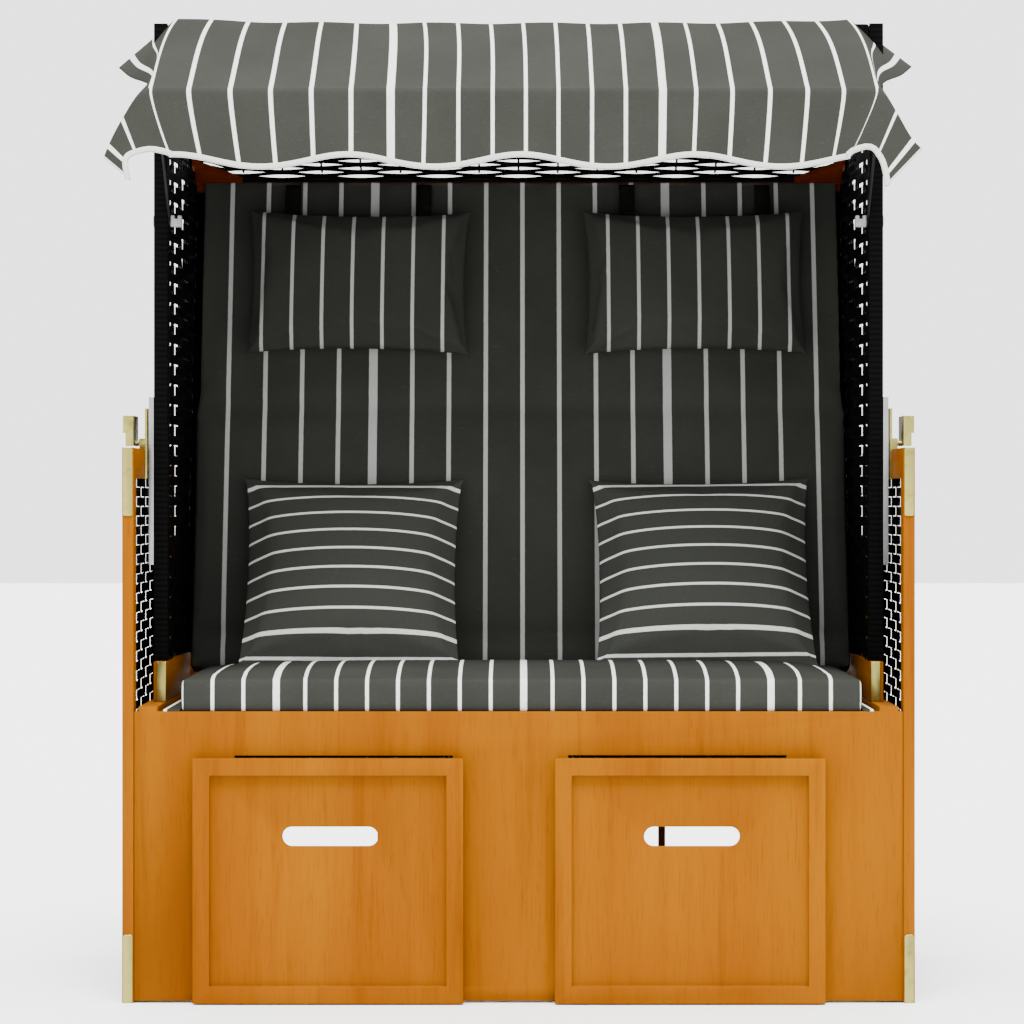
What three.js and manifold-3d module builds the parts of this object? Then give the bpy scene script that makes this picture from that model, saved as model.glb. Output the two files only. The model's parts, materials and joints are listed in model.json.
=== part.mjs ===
// Hooded beach chair: a wooden base, a tilting wicker hood, a folding awning and two footrests.
// Millimetres, +Z up, front towards -Y. While it is built, Y = 0 is the front plane of the base posts,
// X = 0 the middle and Z = 0 the floor. Left is -X, as seen from the front.
import * as THREE from 'three';
import { mergeVertices } from 'three/addons/utils/BufferGeometryUtils.js';
import Module from 'manifold-3d';

const wasm = await Module();
wasm.setup();

// Clearances and cuts
const GAP = 0.3;
const OVERRUN = 2;
const ROUND_SIDES = 16;
const PILL_SEGMENTS = 10;
const CLOTH_COLUMNS = 80;
const CORNER_SEGMENTS = 3;
const MERGE_DISTANCE = 1e-4;
const DEGREE = Math.PI / 180;

// Base: side frames
const BASE_WIDTH = 1170;
const BASE_HEIGHT = 820;
const BASE_DEPTH = 700;
const POST_WIDTH = 17;
const POST_DEPTH = 40;
const TOP_RAIL_HEIGHT = 45;
const FOOT_RAIL_HEIGHT = 60;
const SIDE_WICKER_THICKNESS = 7;
const SIDE_WICKER_INSET = 2;
const STILE_DEPTH = 44;

// Base: front board with the two footrest windows
const FRONT_BOARD_SETBACK = 2;
const FRONT_BOARD_THICKNESS = 19;
const FRONT_BOARD_LIFT = 3.3;
const FRONT_BOARD_TOP = 430;
const WINDOW_BOTTOM = 25;
const WINDOW_TOP = 365.2;
const WINDOW_WIDTH = 322;
const WINDOW_CENTRES = { left: -258, right: 234.5 };

// Base: seat deck, seat rails and what carries them
const SEAT_RAIL_WIDTH = 28;
const SEAT_RAIL_HEIGHT = 44.5;
const SEAT_RAIL_TOP = 437.5;
const SEAT_LEDGE_WIDTH = 20;
const DECK_THICKNESS = 15;
const DECK_TOP = 428;
const DECK_DEPTH = 479;
const SUPPORT_THICKNESS = 20;
const SUPPORT_BEAM_HEIGHT = 52;
const SUPPORT_RAIL_HEIGHT = 36;
const SUPPORT_LEG_WIDTH = 11;
const SUPPORT_LEG_CENTRES = [-220, 229];

// Base: rear frame
const REAR_FRAME_THICKNESS = 19;
const REAR_STILE_WIDTH = 40;
const REAR_MIDDLE_RAIL_BOTTOM = 215;
const REAR_MIDDLE_RAIL_HEIGHT = 45;
const REAR_TOP_RAIL_BOTTOM = 640;
const REAR_TOP_RAIL_HEIGHT = 45;
const REAR_WICKER_THICKNESS = 7;
const REAR_STRAND_PITCH = 13.5;
const REAR_GROOVE_WIDTH = 4.5;
const REAR_GROOVE_DEPTH = 2;

// Base: corner plates
const PLATE_THICKNESS = 1.5;
const PLATE_WIDTH = 14;
const PLATE_HEIGHT = 101;
const PLATE_CORNER = 3;

// Footrests
const FOOTREST_WIDTH = 398;
const FOOTREST_CENTRES = { left: -280.2, right: 252.5 };
const FOOTREST_BOTTOM = 2;
const FOOTREST_TOP = 362;
const FOOTREST_THICKNESS = 22;
const FOOTREST_GAP = 5;
const FOOTREST_BORDER = 25;
const FOOTREST_RECESS = 10;
const FINGER_HOLE_WIDTH = 141;
const FINGER_HOLE_HEIGHT = 29;
const FINGER_HOLE_RISE = 65;
const FINGER_HOLE_SHIFT = 3;
const PLATFORM_WIDTH = 300;
const PLATFORM_DEPTH = 400;
const PLATFORM_THICKNESS = 15;
const PLATFORM_TOP = 345;
const PLATFORM_RAIL_WIDTH = 18;
const PLATFORM_RAIL_HEIGHT = 40;
const RUNNER_HEIGHT = 18;
const RUNNER_LANDING = 20;
const FOOT_CUSHION_THICKNESS = 15.5;
const FOOT_CUSHION_MARGIN = 6;
const FOOT_CUSHION_SQUARENESS = 4;

// Hood: side outline, in the plane of the side frames
const HOOD_SIDE_GAP = 31;
const HOOD_WIDTH = BASE_WIDTH - 2 * HOOD_SIDE_GAP;
const HOOD_SIDE_THICKNESS = 21;
const HOOD_FRONT = 172;
const HOOD_FOOT = 498.3;
const HOOD_TOP = 1467;
const HOOD_BACK_FOOT = 536.8;
const ROOF_SLOPE = 17.5 * DEGREE;
const BACK_LEAN = 16.4 * DEGREE;
const HOOD_POST_DEPTH = 40;
const HOOD_REAR_DEPTH = 47;
const ROOF_THICKNESS = 25;
const BACK_THICKNESS = 25.6;
const HOOD_WICKER_THICKNESS = 7;
const ROOF_WICKER_THICKNESS = 8;
const ROOF_SLOT_COLUMNS = 12;
const ROOF_SLOT_ROWS = 12;
const ROOF_SLOT_LENGTH = 62;
const ROOF_SLOT_HEIGHT = 12;

// Hood: rails, plates and braces
const HOOD_RAIL_WIDTH = 19;
const HOOD_RAIL_HEIGHT = 60;
const HOOD_RAIL_NOSE = 28;
const HOOD_RAIL_TAIL = 47;
const HOOD_PLATE_WIDTH = 14;
const ROOF_FRONT_RAIL_DEPTH = 40;
const REAR_RAIL_COVER = 60;
const REAR_RAIL_HEIGHT = 48;
const BACK_RAIL_HEIGHT = 60;
const BRACE_LEG = 78;
const BRACE_THICKNESS = 12;

// Hood: pivot, adjuster bars and latches
const PIVOT_DROP = 75;
const PIVOT_Z = BASE_HEIGHT - PIVOT_DROP;
const PIVOT_RADIUS = 5;
const PIVOT_COLLAR_RADIUS = 9;
const RIVET_HEAD_THICKNESS = 1.5;
const BORE_GAP = 0.4;
const TILT_STEP = 6 * DEGREE;
const TILT_HOLES = 5;
const ADJUSTER_THICKNESS = 7.7;
const ADJUSTER_DEPTH = 30;
const ADJUSTER_MARGIN = 15.4;
const ADJUSTER_RISE = 79;
const LATCH_Y = 187;
const LATCH_RISE = 9;
const LATCH_RADIUS = 4;
const LATCH_TRAVEL = 6;
const LATCH_SLACK = 0.8;
const BRACKET_THICKNESS = 3.5;
const BRACKET_DEPTH = 30;
const BRACKET_RISE = 62;
const GUIDE_LENGTH = 9;
const GUIDE_DEPTH = 20;
const GUIDE_HEIGHT = 16;
const HANDLE_SHEET = 4;
const HANDLE_DEPTH = 80;
const HANDLE_FRONT = 32;
const HANDLE_DROP = 4.2;
const HANDLE_HEIGHT = 45.7;
const HANDLE_WIDTH = 16;
const HANDLE_LIP = 26.5;
const HANDLE_WEB_SETBACK = 40;

// Awning
const AWNING_PIVOT_Z = 1167;
const AWNING_PIN_RADIUS = 4;
const AWNING_ROD = 8;
const AWNING_ARM_THICKNESS = 3;
const AWNING_BAR_Y = -37;
const AWNING_BAR_Z = 1338;
const AWNING_EYE_RADIUS = 10;
const KNOB_LENGTH = 16.5;
const KNOB_HEIGHT = 17;
const KNOB_DEPTH = 15;
const KNOB_NOTCH = 5;
const CLOTH_THICKNESS = 2.4;
const CLOTH_OVERHANG = 44;
const CLOTH_FLAT_OVERHANG = 10;
const CLOTH_WIDTH = HOOD_WIDTH + 2 * CLOTH_OVERHANG;
const CLOTH_FLAT_WIDTH = HOOD_WIDTH + 2 * CLOTH_FLAT_OVERHANG;
const CLOTH_DROOP = 58;
const CLOTH_FOLD_SHARE = 0.8;
const CLOTH_DROOP_SHARE = 1.4;
const CLOTH_ROOF_DROP = 4;
const VALANCE_DROP = 96;
const SCALLOP_PITCH = 254;
const SCALLOP_DEPTH = 20;
const SCALLOP_CENTRE = 131;
const VALANCE_WAVE = 7;
const VALANCE_SIDE_DROP = 40;

// Soft pieces
const SEAT_CUSHION_INSET = 60;
const SEAT_CUSHION_WIDTH = HOOD_WIDTH - 2 * SEAT_CUSHION_INSET;
const SEAT_CUSHION_FRONT = 6;
const SEAT_CUSHION_BACK = 490;
const SEAT_CUSHION_THICKNESS = 49.5;
const SEAT_CUSHION_CROWN = 13;
const SEAT_CUSHION_SQUARENESS = 5;
const SEAT_LIP_INSET = 28;
const SEAT_LIP_WIDTH = HOOD_WIDTH - 2 * SEAT_LIP_INSET;
const SEAT_LIP_THICKNESS = 5;
const BACK_CUSHION_INSET = 29;
const BACK_CUSHION_WIDTH = HOOD_WIDTH - 2 * BACK_CUSHION_INSET;
const BACK_CUSHION_THICKNESS = 40;
const BACK_CUSHION_SQUARENESS = 6;
const BACK_CUSHION_BOTTOM = 488;
const BACK_CUSHION_TOP = 1267;
const BACK_CHANNEL_HEIGHTS = [526, 896];
const BACK_CHANNEL_DEPTH = 5;
const BACK_CHANNEL_WIDTH = 22;
const HEAD_PILLOW_WIDTH = 350;
const HEAD_PILLOW_HEIGHT = 232;
const HEAD_PILLOW_THICKNESS = 70;
const HEAD_PILLOW_INSETS = { left: 288, right: 264 };
const HEAD_PILLOW_CENTRE_Z = 1099;
const STRAP_WIDTH = 25;
const STRAP_THICKNESS = 2.5;
const STRAP_SPREAD = 215;
const STRAP_REACH = 72;
const LUMBAR_WIDTH = 354;
const LUMBAR_HEIGHT = 338;
const LUMBAR_THICKNESS = 92;
const LUMBAR_INSETS = { left: 289, right: 261 };
const LUMBAR_LEAN = 31 * DEGREE;
const LUMBAR_SEAT_SHARE = 0.8;
const PILLOW_DRAW = 12;
const PILLOW_SQUARENESS = 2.4;

// Looks
const WOOD = { color: 0xd08a1c, roughness: 0.45, metalness: 0 };
const WICKER = { color: 0x141414, roughness: 0.6, metalness: 0 };
const BRASS = { color: 0xd7c882, roughness: 0.35, metalness: 1 };
const BLACK_METAL = { color: 0x121212, roughness: 0.5, metalness: 0.6 };
const STEEL = { color: 0xc4c4c8, roughness: 0.35, metalness: 1 };
const KNOB_GREY = { color: 0xb4b4b0, roughness: 0.5, metalness: 0 };
const CLOTH = { color: 0x5c5e58, roughness: 0.9, metalness: 0 };

const group = new THREE.Group();

// Adds one named piece to the group.
function addPiece(name, geometry, look) {
  const mesh = new THREE.Mesh(geometry, new THREE.MeshStandardMaterial(look));
  mesh.name = name;
  group.add(mesh);
}

// A closed three.js geometry as a manifold solid.
function toSolid(geometry) {
  const bare = geometry.index ? geometry.toNonIndexed() : geometry.clone();
  for (const name of Object.keys(bare.attributes)) {
    if (name !== 'position') bare.deleteAttribute(name);
  }
  const merged = mergeVertices(bare, MERGE_DISTANCE);
  const mesh = new wasm.Mesh({
    numProp: 3,
    vertProperties: new Float32Array(merged.attributes.position.array),
    triVerts: new Uint32Array(merged.index.array),
  });
  return new wasm.Manifold(mesh);
}

// A manifold solid as a three.js geometry.
function toGeometry(solid) {
  const mesh = solid.getMesh();
  const geometry = new THREE.BufferGeometry();
  geometry.setAttribute('position', new THREE.BufferAttribute(new Float32Array(mesh.vertProperties), 3));
  geometry.setIndex(new THREE.BufferAttribute(new Uint32Array(mesh.triVerts), 1));
  const flat = geometry.toNonIndexed();
  flat.computeVertexNormals();
  return flat;
}

// Joins closed geometries into one.
function join(geometries) {
  return toGeometry(geometries.map(toSolid).reduce((sum, next) => sum.add(next)));
}

// Cuts the later geometries out of the first.
function cut(body, ...tools) {
  return toGeometry(tools.map(toSolid).reduce((sum, next) => sum.subtract(next), toSolid(body)));
}

// A box between two corners.
function box([x0, x1], [y0, y1], [z0, z1]) {
  const geometry = new THREE.BoxGeometry(x1 - x0, y1 - y0, z1 - z0);
  return geometry.translate((x0 + x1) / 2, (y0 + y1) / 2, (z0 + z1) / 2);
}

// The same piece on the other side of the chair.
function mirrored(geometry) {
  const copy = (geometry.index ? geometry.toNonIndexed() : geometry.clone()).scale(-1, 1, 1);
  const position = copy.attributes.position;
  for (let i = 0; i < position.count; i += 3) {
    const [x, y, z] = [position.getX(i), position.getY(i), position.getZ(i)];
    position.setXYZ(i, position.getX(i + 1), position.getY(i + 1), position.getZ(i + 1));
    position.setXYZ(i + 1, x, y, z);
  }
  copy.computeVertexNormals();
  return copy;
}

// Adds a piece made for the right side, and its mirror image on the left.
function addPair(name, geometry, look) {
  addPiece(`left_${name}`, mirrored(geometry), look);
  addPiece(`right_${name}`, geometry, look);
}

// A flat outline as a shape.
function outline(points) {
  return new THREE.Shape(points.map(([a, b]) => new THREE.Vector2(a, b)));
}

// A (Y, Z) outline carried along X.
function alongX(shape, [x0, x1]) {
  const geometry = new THREE.ExtrudeGeometry(shape, { depth: x1 - x0, bevelEnabled: false });
  const turn = new THREE.Matrix4().makeBasis(
    new THREE.Vector3(0, 1, 0), new THREE.Vector3(0, 0, 1), new THREE.Vector3(1, 0, 0));
  return geometry.applyMatrix4(turn).translate(x0, 0, 0);
}

// An (X, Z) outline carried along Y.
function alongY(shape, [y0, y1]) {
  const geometry = new THREE.ExtrudeGeometry(shape, { depth: y1 - y0, bevelEnabled: false });
  return geometry.rotateX(Math.PI / 2).translate(0, y1, 0);
}

// A round rod along X.
function rodX(radius, [x0, x1], y, z) {
  const geometry = new THREE.CylinderGeometry(radius, radius, x1 - x0, ROUND_SIDES);
  return geometry.rotateZ(Math.PI / 2).translate((x0 + x1) / 2, y, z);
}

// A pill-shaped bar along Y: two round ends and a straight middle.
function pillAlongY(width, height, x, z, [y0, y1]) {
  const radius = height / 2;
  const straight = width / 2 - radius;
  const shape = new THREE.Shape();
  shape.moveTo(x - straight, z - radius);
  shape.lineTo(x + straight, z - radius);
  shape.absarc(x + straight, z, radius, -Math.PI / 2, Math.PI / 2);
  shape.lineTo(x - straight, z + radius);
  shape.absarc(x - straight, z, radius, Math.PI / 2, 1.5 * Math.PI);
  const geometry = new THREE.ExtrudeGeometry(shape, {
    depth: y1 - y0, bevelEnabled: false, curveSegments: PILL_SEGMENTS });
  return geometry.rotateX(Math.PI / 2).translate(0, y1, 0);
}

// A closed sheet or pad between a top and a bottom surface over one grid of shares from -1 to 1.
// place(u, v, side) gives the point of the upper (side 1) or lower (side -1) surface.
function closedGrid(columns, rows, place, ease = (t) => t) {
  const points = [];
  const faces = [];
  const corner = (i, j, side) => (side > 0 ? 0 : 1) * (columns + 1) * (rows + 1) + j * (columns + 1) + i;
  for (const side of [1, -1]) {
    for (let j = 0; j <= rows; j += 1) {
      for (let i = 0; i <= columns; i += 1) {
        points.push(...place(ease(2 * i / columns - 1), ease(2 * j / rows - 1), side));
      }
    }
  }
  const quad = (a, b, c, d) => faces.push(a, b, c, a, c, d);
  for (let j = 0; j < rows; j += 1) {
    for (let i = 0; i < columns; i += 1) {
      quad(corner(i, j, 1), corner(i + 1, j, 1), corner(i + 1, j + 1, 1), corner(i, j + 1, 1));
      quad(corner(i, j, -1), corner(i, j + 1, -1), corner(i + 1, j + 1, -1), corner(i + 1, j, -1));
    }
  }
  for (let i = 0; i < columns; i += 1) {
    quad(corner(i, 0, -1), corner(i + 1, 0, -1), corner(i + 1, 0, 1), corner(i, 0, 1));
    quad(corner(i + 1, rows, -1), corner(i, rows, -1), corner(i, rows, 1), corner(i + 1, rows, 1));
  }
  for (let j = 0; j < rows; j += 1) {
    const i = columns;
    quad(corner(0, j + 1, -1), corner(0, j, -1), corner(0, j, 1), corner(0, j + 1, 1));
    quad(corner(i, j, -1), corner(i, j + 1, -1), corner(i, j + 1, 1), corner(i, j, 1));
  }
  const geometry = new THREE.BufferGeometry();
  geometry.setAttribute('position', new THREE.Float32BufferAttribute(points, 3));
  geometry.setIndex(faces);
  return geometry;
}

// A stuffed pad, flat in X and Y, that swells along Z: a rounded box when squareness is high,
// a pillow when it is near 2. The sides can be drawn in between the corners, the top can have a crown
// and channels sewn across it, each {share, depth, width}.
function pad({ size: [width, depth, thickness], squareness, draw = 0, crown = 0, channels = [], grid }) {
  const swell = (share) => Math.max(0, 1 - Math.abs(share) ** squareness) ** (1 / squareness);
  const rim = GAP / thickness;
  const place = (u, v, side) => {
    const x = u * (width / 2 - draw * (1 - v * v));
    const y = v * (depth / 2 - draw * (1 - u * u));
    const full = Math.max(rim, swell(u) * swell(v));
    let z = side * full * thickness / 2;
    if (side > 0) {
      z += crown * (1 - u * u) * (1 - v * v);
      for (const channel of channels) {
        z -= channel.depth * full * Math.exp(-(((v - channel.share) * depth / 2 / (channel.width / 2)) ** 2));
      }
    }
    return [x, y, z];
  };
  return closedGrid(grid[0], grid[1], place, (t) => Math.sin(t * Math.PI / 2));
}

// Where two straight lines of the (Y, Z) plane meet, each given by a point and a direction.
function meet([p, d], [q, e]) {
  const cross = d[0] * e[1] - d[1] * e[0];
  const along = ((q[0] - p[0]) * e[1] - (q[1] - p[1]) * e[0]) / cross;
  return [p[0] + d[0] * along, p[1] + d[1] * along];
}

const SIDES = ['left', 'right'];

// Places that follow from the base sizes
const baseHalf = BASE_WIDTH / 2;
const postInner = baseHalf - POST_WIDTH;
const boardBack = FRONT_BOARD_SETBACK + FRONT_BOARD_THICKNESS;
const rearFrameFront = BASE_DEPTH - REAR_FRAME_THICKNESS;
const railOuter = HOOD_WIDTH / 2 + BRACKET_THICKNESS + BRACKET_THICKNESS;
const railInner = railOuter - SEAT_RAIL_WIDTH;
const railBottom = SEAT_RAIL_TOP - SEAT_RAIL_HEIGHT;
const deckBottom = DECK_TOP - DECK_THICKNESS;
const deckFront = boardBack + GAP;
const deckBack = deckFront + DECK_DEPTH;
const supportFront = deckBack - SUPPORT_THICKNESS;
const wickerOuter = baseHalf - SIDE_WICKER_INSET;
const wickerInner = wickerOuter - SIDE_WICKER_THICKNESS;
const topRailBottom = BASE_HEIGHT - TOP_RAIL_HEIGHT;

// Places that follow from the hood sizes
const hoodOuter = HOOD_WIDTH / 2;
const hoodInner = hoodOuter - HOOD_SIDE_THICKNESS;
const roofDirection = [Math.cos(ROOF_SLOPE), -Math.sin(ROOF_SLOPE)];
const backDirection = [Math.sin(BACK_LEAN), Math.cos(BACK_LEAN)];
const roofDrop = ROOF_THICKNESS / Math.cos(ROOF_SLOPE);
const backInset = BACK_THICKNESS / Math.cos(BACK_LEAN);
const roofTop = (y) => HOOD_TOP - (y - HOOD_FRONT) * Math.tan(ROOF_SLOPE);
const roofUnder = (y) => roofTop(y) - roofDrop;
const backOuter = (z) => HOOD_BACK_FOOT + (z - HOOD_FOOT) * Math.tan(BACK_LEAN);
const backInner = (z) => backOuter(z) - backInset;
const faceInset = (BACK_CUSHION_THICKNESS + GAP) / Math.cos(BACK_LEAN);
const backFace = (z) => backInner(z) - faceInset;
const roofLine = [[HOOD_FRONT, HOOD_TOP], roofDirection];
const backLine = [[HOOD_BACK_FOOT, HOOD_FOOT], backDirection];
const pivotY = backOuter(PIVOT_Z) - HOOD_REAR_DEPTH / 2;
const hoodCrest = meet(roofLine, backLine);
const crossHalf = hoodInner - GAP;
const outward = { left: -1, right: 1 };
const pillowCentre = (insets, side) => outward[side] * (hoodOuter - insets[side]);

// Side frames: posts and rails as one ring, with the stile that carries the pivot.
function sideFrame() {
  const ring = cut(
    box([postInner, baseHalf], [0, BASE_DEPTH], [0, BASE_HEIGHT]),
    box(
      [postInner - OVERRUN, baseHalf + OVERRUN],
      [POST_DEPTH, BASE_DEPTH - POST_DEPTH], [FOOT_RAIL_HEIGHT, topRailBottom]));
  const stile = box(
    [postInner, wickerInner - GAP],
    [pivotY - STILE_DEPTH / 2, pivotY + STILE_DEPTH / 2],
    [FOOT_RAIL_HEIGHT - OVERRUN, topRailBottom + OVERRUN]);
  const frame = join([ring, stile]);
  const bore = rodX(PIVOT_RADIUS + BORE_GAP, [postInner - OVERRUN, wickerInner], pivotY, PIVOT_Z);
  return cut(frame, bore);
}
addPair('side_frame', sideFrame(), WOOD);
addPair('side_wicker', box(
  [wickerInner, wickerOuter],
  [POST_DEPTH + GAP, BASE_DEPTH - POST_DEPTH - GAP],
  [FOOT_RAIL_HEIGHT + GAP, topRailBottom - GAP]), WICKER);

// Front board: two windows below, and a raised ear in front of each seat rail.
function frontBoard() {
  const half = postInner - GAP;
  const windows = SIDES.map((side) => box(
    [WINDOW_CENTRES[side] - WINDOW_WIDTH / 2, WINDOW_CENTRES[side] + WINDOW_WIDTH / 2],
    [FRONT_BOARD_SETBACK - OVERRUN, boardBack + OVERRUN], [WINDOW_BOTTOM, WINDOW_TOP]));
  const shape = outline([
    [-half, FRONT_BOARD_LIFT], [half, FRONT_BOARD_LIFT], [half, FRONT_BOARD_TOP],
    [railOuter, FRONT_BOARD_TOP], [railOuter, SEAT_RAIL_TOP],
    [railInner, SEAT_RAIL_TOP], [railInner, FRONT_BOARD_TOP],
    [-railInner, FRONT_BOARD_TOP], [-railInner, SEAT_RAIL_TOP],
    [-railOuter, SEAT_RAIL_TOP], [-railOuter, FRONT_BOARD_TOP], [-half, FRONT_BOARD_TOP],
  ]);
  return cut(alongY(shape, [FRONT_BOARD_SETBACK, boardBack]), ...windows);
}
addPiece('front_board', frontBoard(), WOOD);

// Seat: an L-shaped rail on each side, with the deck on its ledge.
addPair('seat_rail', alongY(outline([
  [railInner - SEAT_LEDGE_WIDTH, railBottom], [railOuter, railBottom],
  [railOuter, SEAT_RAIL_TOP], [railInner, SEAT_RAIL_TOP],
  [railInner, deckBottom - GAP], [railInner - SEAT_LEDGE_WIDTH, deckBottom - GAP],
]), [boardBack + GAP, rearFrameFront - GAP]), WOOD);
addPiece('seat_deck', box(
  [GAP - railInner, railInner - GAP], [deckFront, deckBack], [deckBottom, DECK_TOP]), WOOD);

// Rear seat support: beam under the deck, lower rail behind the runners and two legs to the floor.
const platformBottom = PLATFORM_TOP - PLATFORM_THICKNESS;
const runnerTop = platformBottom - PLATFORM_RAIL_HEIGHT - GAP;
const runnerBottom = runnerTop - RUNNER_HEIGHT;
const supportHalf = railInner - SEAT_LEDGE_WIDTH - GAP;
function rearSeatSupport() {
  const depth = [supportFront, deckBack];
  const beamTop = deckBottom - GAP;
  const beam = box([-supportHalf, supportHalf], depth, [beamTop - SUPPORT_BEAM_HEIGHT, beamTop]);
  const rail = box([-supportHalf, supportHalf], depth, [runnerTop - SUPPORT_RAIL_HEIGHT, runnerTop]);
  const legs = SUPPORT_LEG_CENTRES.map((x) => box(
    [x - SUPPORT_LEG_WIDTH / 2, x + SUPPORT_LEG_WIDTH / 2], depth,
    [0, beamTop - SUPPORT_BEAM_HEIGHT / 2]));
  return join([beam, rail, ...legs]);
}
addPiece('rear_seat_support', rearSeatSupport(), WOOD);

// Rear frame: an open window below and a wicker panel above, grooved between its strands.
const rearHalf = postInner - GAP;
const rearWindowHalf = rearHalf - REAR_STILE_WIDTH;
const rearPanelBottom = REAR_MIDDLE_RAIL_BOTTOM + REAR_MIDDLE_RAIL_HEIGHT;
const rearFrameTop = REAR_TOP_RAIL_BOTTOM + REAR_TOP_RAIL_HEIGHT;
const rearCut = [rearFrameFront - OVERRUN, BASE_DEPTH + OVERRUN];
addPiece('rear_frame', cut(
  box([-rearHalf, rearHalf], [rearFrameFront, BASE_DEPTH], [0, rearFrameTop]),
  box([-rearWindowHalf, rearWindowHalf], rearCut, [FOOT_RAIL_HEIGHT, REAR_MIDDLE_RAIL_BOTTOM]),
  box([-rearWindowHalf, rearWindowHalf], rearCut, [rearPanelBottom, REAR_TOP_RAIL_BOTTOM])), WOOD);
const rearMiddle = (rearFrameFront + BASE_DEPTH) / 2;
function rearWicker() {
  const [bottom, top] = [rearPanelBottom + GAP, REAR_TOP_RAIL_BOTTOM - GAP];
  const count = Math.round((top - bottom) / REAR_STRAND_PITCH);
  const pitch = (top - bottom) / count;
  const half = REAR_WICKER_THICKNESS / 2;
  const edge = [[half, bottom]];
  for (let i = 1; i < count; i += 1) {
    const z = bottom + i * pitch;
    edge.push([half, z - REAR_GROOVE_WIDTH / 2], [half - REAR_GROOVE_DEPTH, z], [half, z + REAR_GROOVE_WIDTH / 2]);
  }
  edge.push([half, top]);
  const front = edge.map(([out, z]) => [rearMiddle - out, z]).reverse();
  const back = edge.map(([out, z]) => [rearMiddle + out, z]);
  return alongX(outline([...back, ...front]), [GAP - rearWindowHalf, rearWindowHalf - GAP]);
}
addPiece('rear_wicker', rearWicker(), WICKER);

// Corner plates: thin brass with rounded corners, top and bottom of each front post.
function cornerPlate(bottom) {
  const middle = (postInner + baseHalf) / 2;
  const [x0, x1] = [middle - PLATE_WIDTH / 2, middle + PLATE_WIDTH / 2];
  const top = bottom + PLATE_HEIGHT;
  const shape = new THREE.Shape();
  shape.moveTo(x0 + PLATE_CORNER, bottom);
  shape.absarc(x1 - PLATE_CORNER, bottom + PLATE_CORNER, PLATE_CORNER, -Math.PI / 2, 0);
  shape.absarc(x1 - PLATE_CORNER, top - PLATE_CORNER, PLATE_CORNER, 0, Math.PI / 2);
  shape.absarc(x0 + PLATE_CORNER, top - PLATE_CORNER, PLATE_CORNER, Math.PI / 2, Math.PI);
  shape.absarc(x0 + PLATE_CORNER, bottom + PLATE_CORNER, PLATE_CORNER, Math.PI, 1.5 * Math.PI);
  const geometry = new THREE.ExtrudeGeometry(shape, {
    depth: PLATE_THICKNESS, bevelEnabled: false, curveSegments: CORNER_SEGMENTS });
  return geometry.rotateX(Math.PI / 2).translate(0, -GAP, 0);
}
addPair('top_corner_plate', cornerPlate(BASE_HEIGHT - PLATE_HEIGHT), BRASS);
addPair('foot_corner_plate', cornerPlate(0), BRASS);

// Latch bracket: a plate on the inside of the side frame and a guide block on the top rail.
const latchZ = BASE_HEIGHT + LATCH_RISE;
function latchBracket() {
  const plate = box(
    [postInner - GAP - BRACKET_THICKNESS, postInner - GAP],
    [LATCH_Y - BRACKET_DEPTH / 2, LATCH_Y + BRACKET_DEPTH / 2],
    [topRailBottom, BASE_HEIGHT + BRACKET_RISE]);
  const guide = box(
    [postInner - GAP - BRACKET_THICKNESS / 2, postInner - GAP + GUIDE_LENGTH],
    [LATCH_Y - GUIDE_DEPTH / 2, LATCH_Y + GUIDE_DEPTH / 2],
    [BASE_HEIGHT + GAP, BASE_HEIGHT + GAP + GUIDE_HEIGHT]);
  const bore = rodX(LATCH_RADIUS + BORE_GAP, [hoodOuter, baseHalf], LATCH_Y, latchZ);
  return cut(join([plate, guide]), bore);
}
addPair('latch_bracket', latchBracket(), BRASS);

// Latch bolt with its hook-shaped handle, drawn out of the adjuster bar.
const adjusterOuter = hoodOuter + GAP + ADJUSTER_THICKNESS;
const guideEnd = postInner - GAP + GUIDE_LENGTH;
const handleInner = guideEnd + LATCH_TRAVEL + LATCH_SLACK;
function latchBolt() {
  const front = LATCH_Y - HANDLE_FRONT;
  const back = front + HANDLE_DEPTH;
  const bottom = latchZ - HANDLE_DROP;
  const top = bottom + HANDLE_HEIGHT;
  const outer = handleInner + HANDLE_WIDTH;
  const webY = front + HANDLE_WEB_SETBACK;
  return join([
    rodX(LATCH_RADIUS, [adjusterOuter + GAP, handleInner + HANDLE_SHEET / 2], LATCH_Y, latchZ),
    box([handleInner, handleInner + HANDLE_SHEET], [front, back], [bottom, top]),
    box([handleInner, outer], [front, back], [top - HANDLE_SHEET, top]),
    box([handleInner, outer], [front, front + HANDLE_SHEET], [top - HANDLE_LIP, top]),
    box([handleInner, outer], [webY, webY + HANDLE_SHEET], [bottom, top]),
  ]);
}
addPair('latch_bolt', latchBolt(), BRASS);

// Pivot bolt: shank through the stile and the hood side, with a collar that keeps them apart.
function pivotBolt() {
  return join([
    rodX(PIVOT_RADIUS, [hoodInner, wickerInner - GAP], pivotY, PIVOT_Z),
    rodX(PIVOT_COLLAR_RADIUS, [hoodOuter + GAP, postInner - GAP], pivotY, PIVOT_Z),
  ]);
}
addPair('pivot_bolt', pivotBolt(), STEEL);

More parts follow.
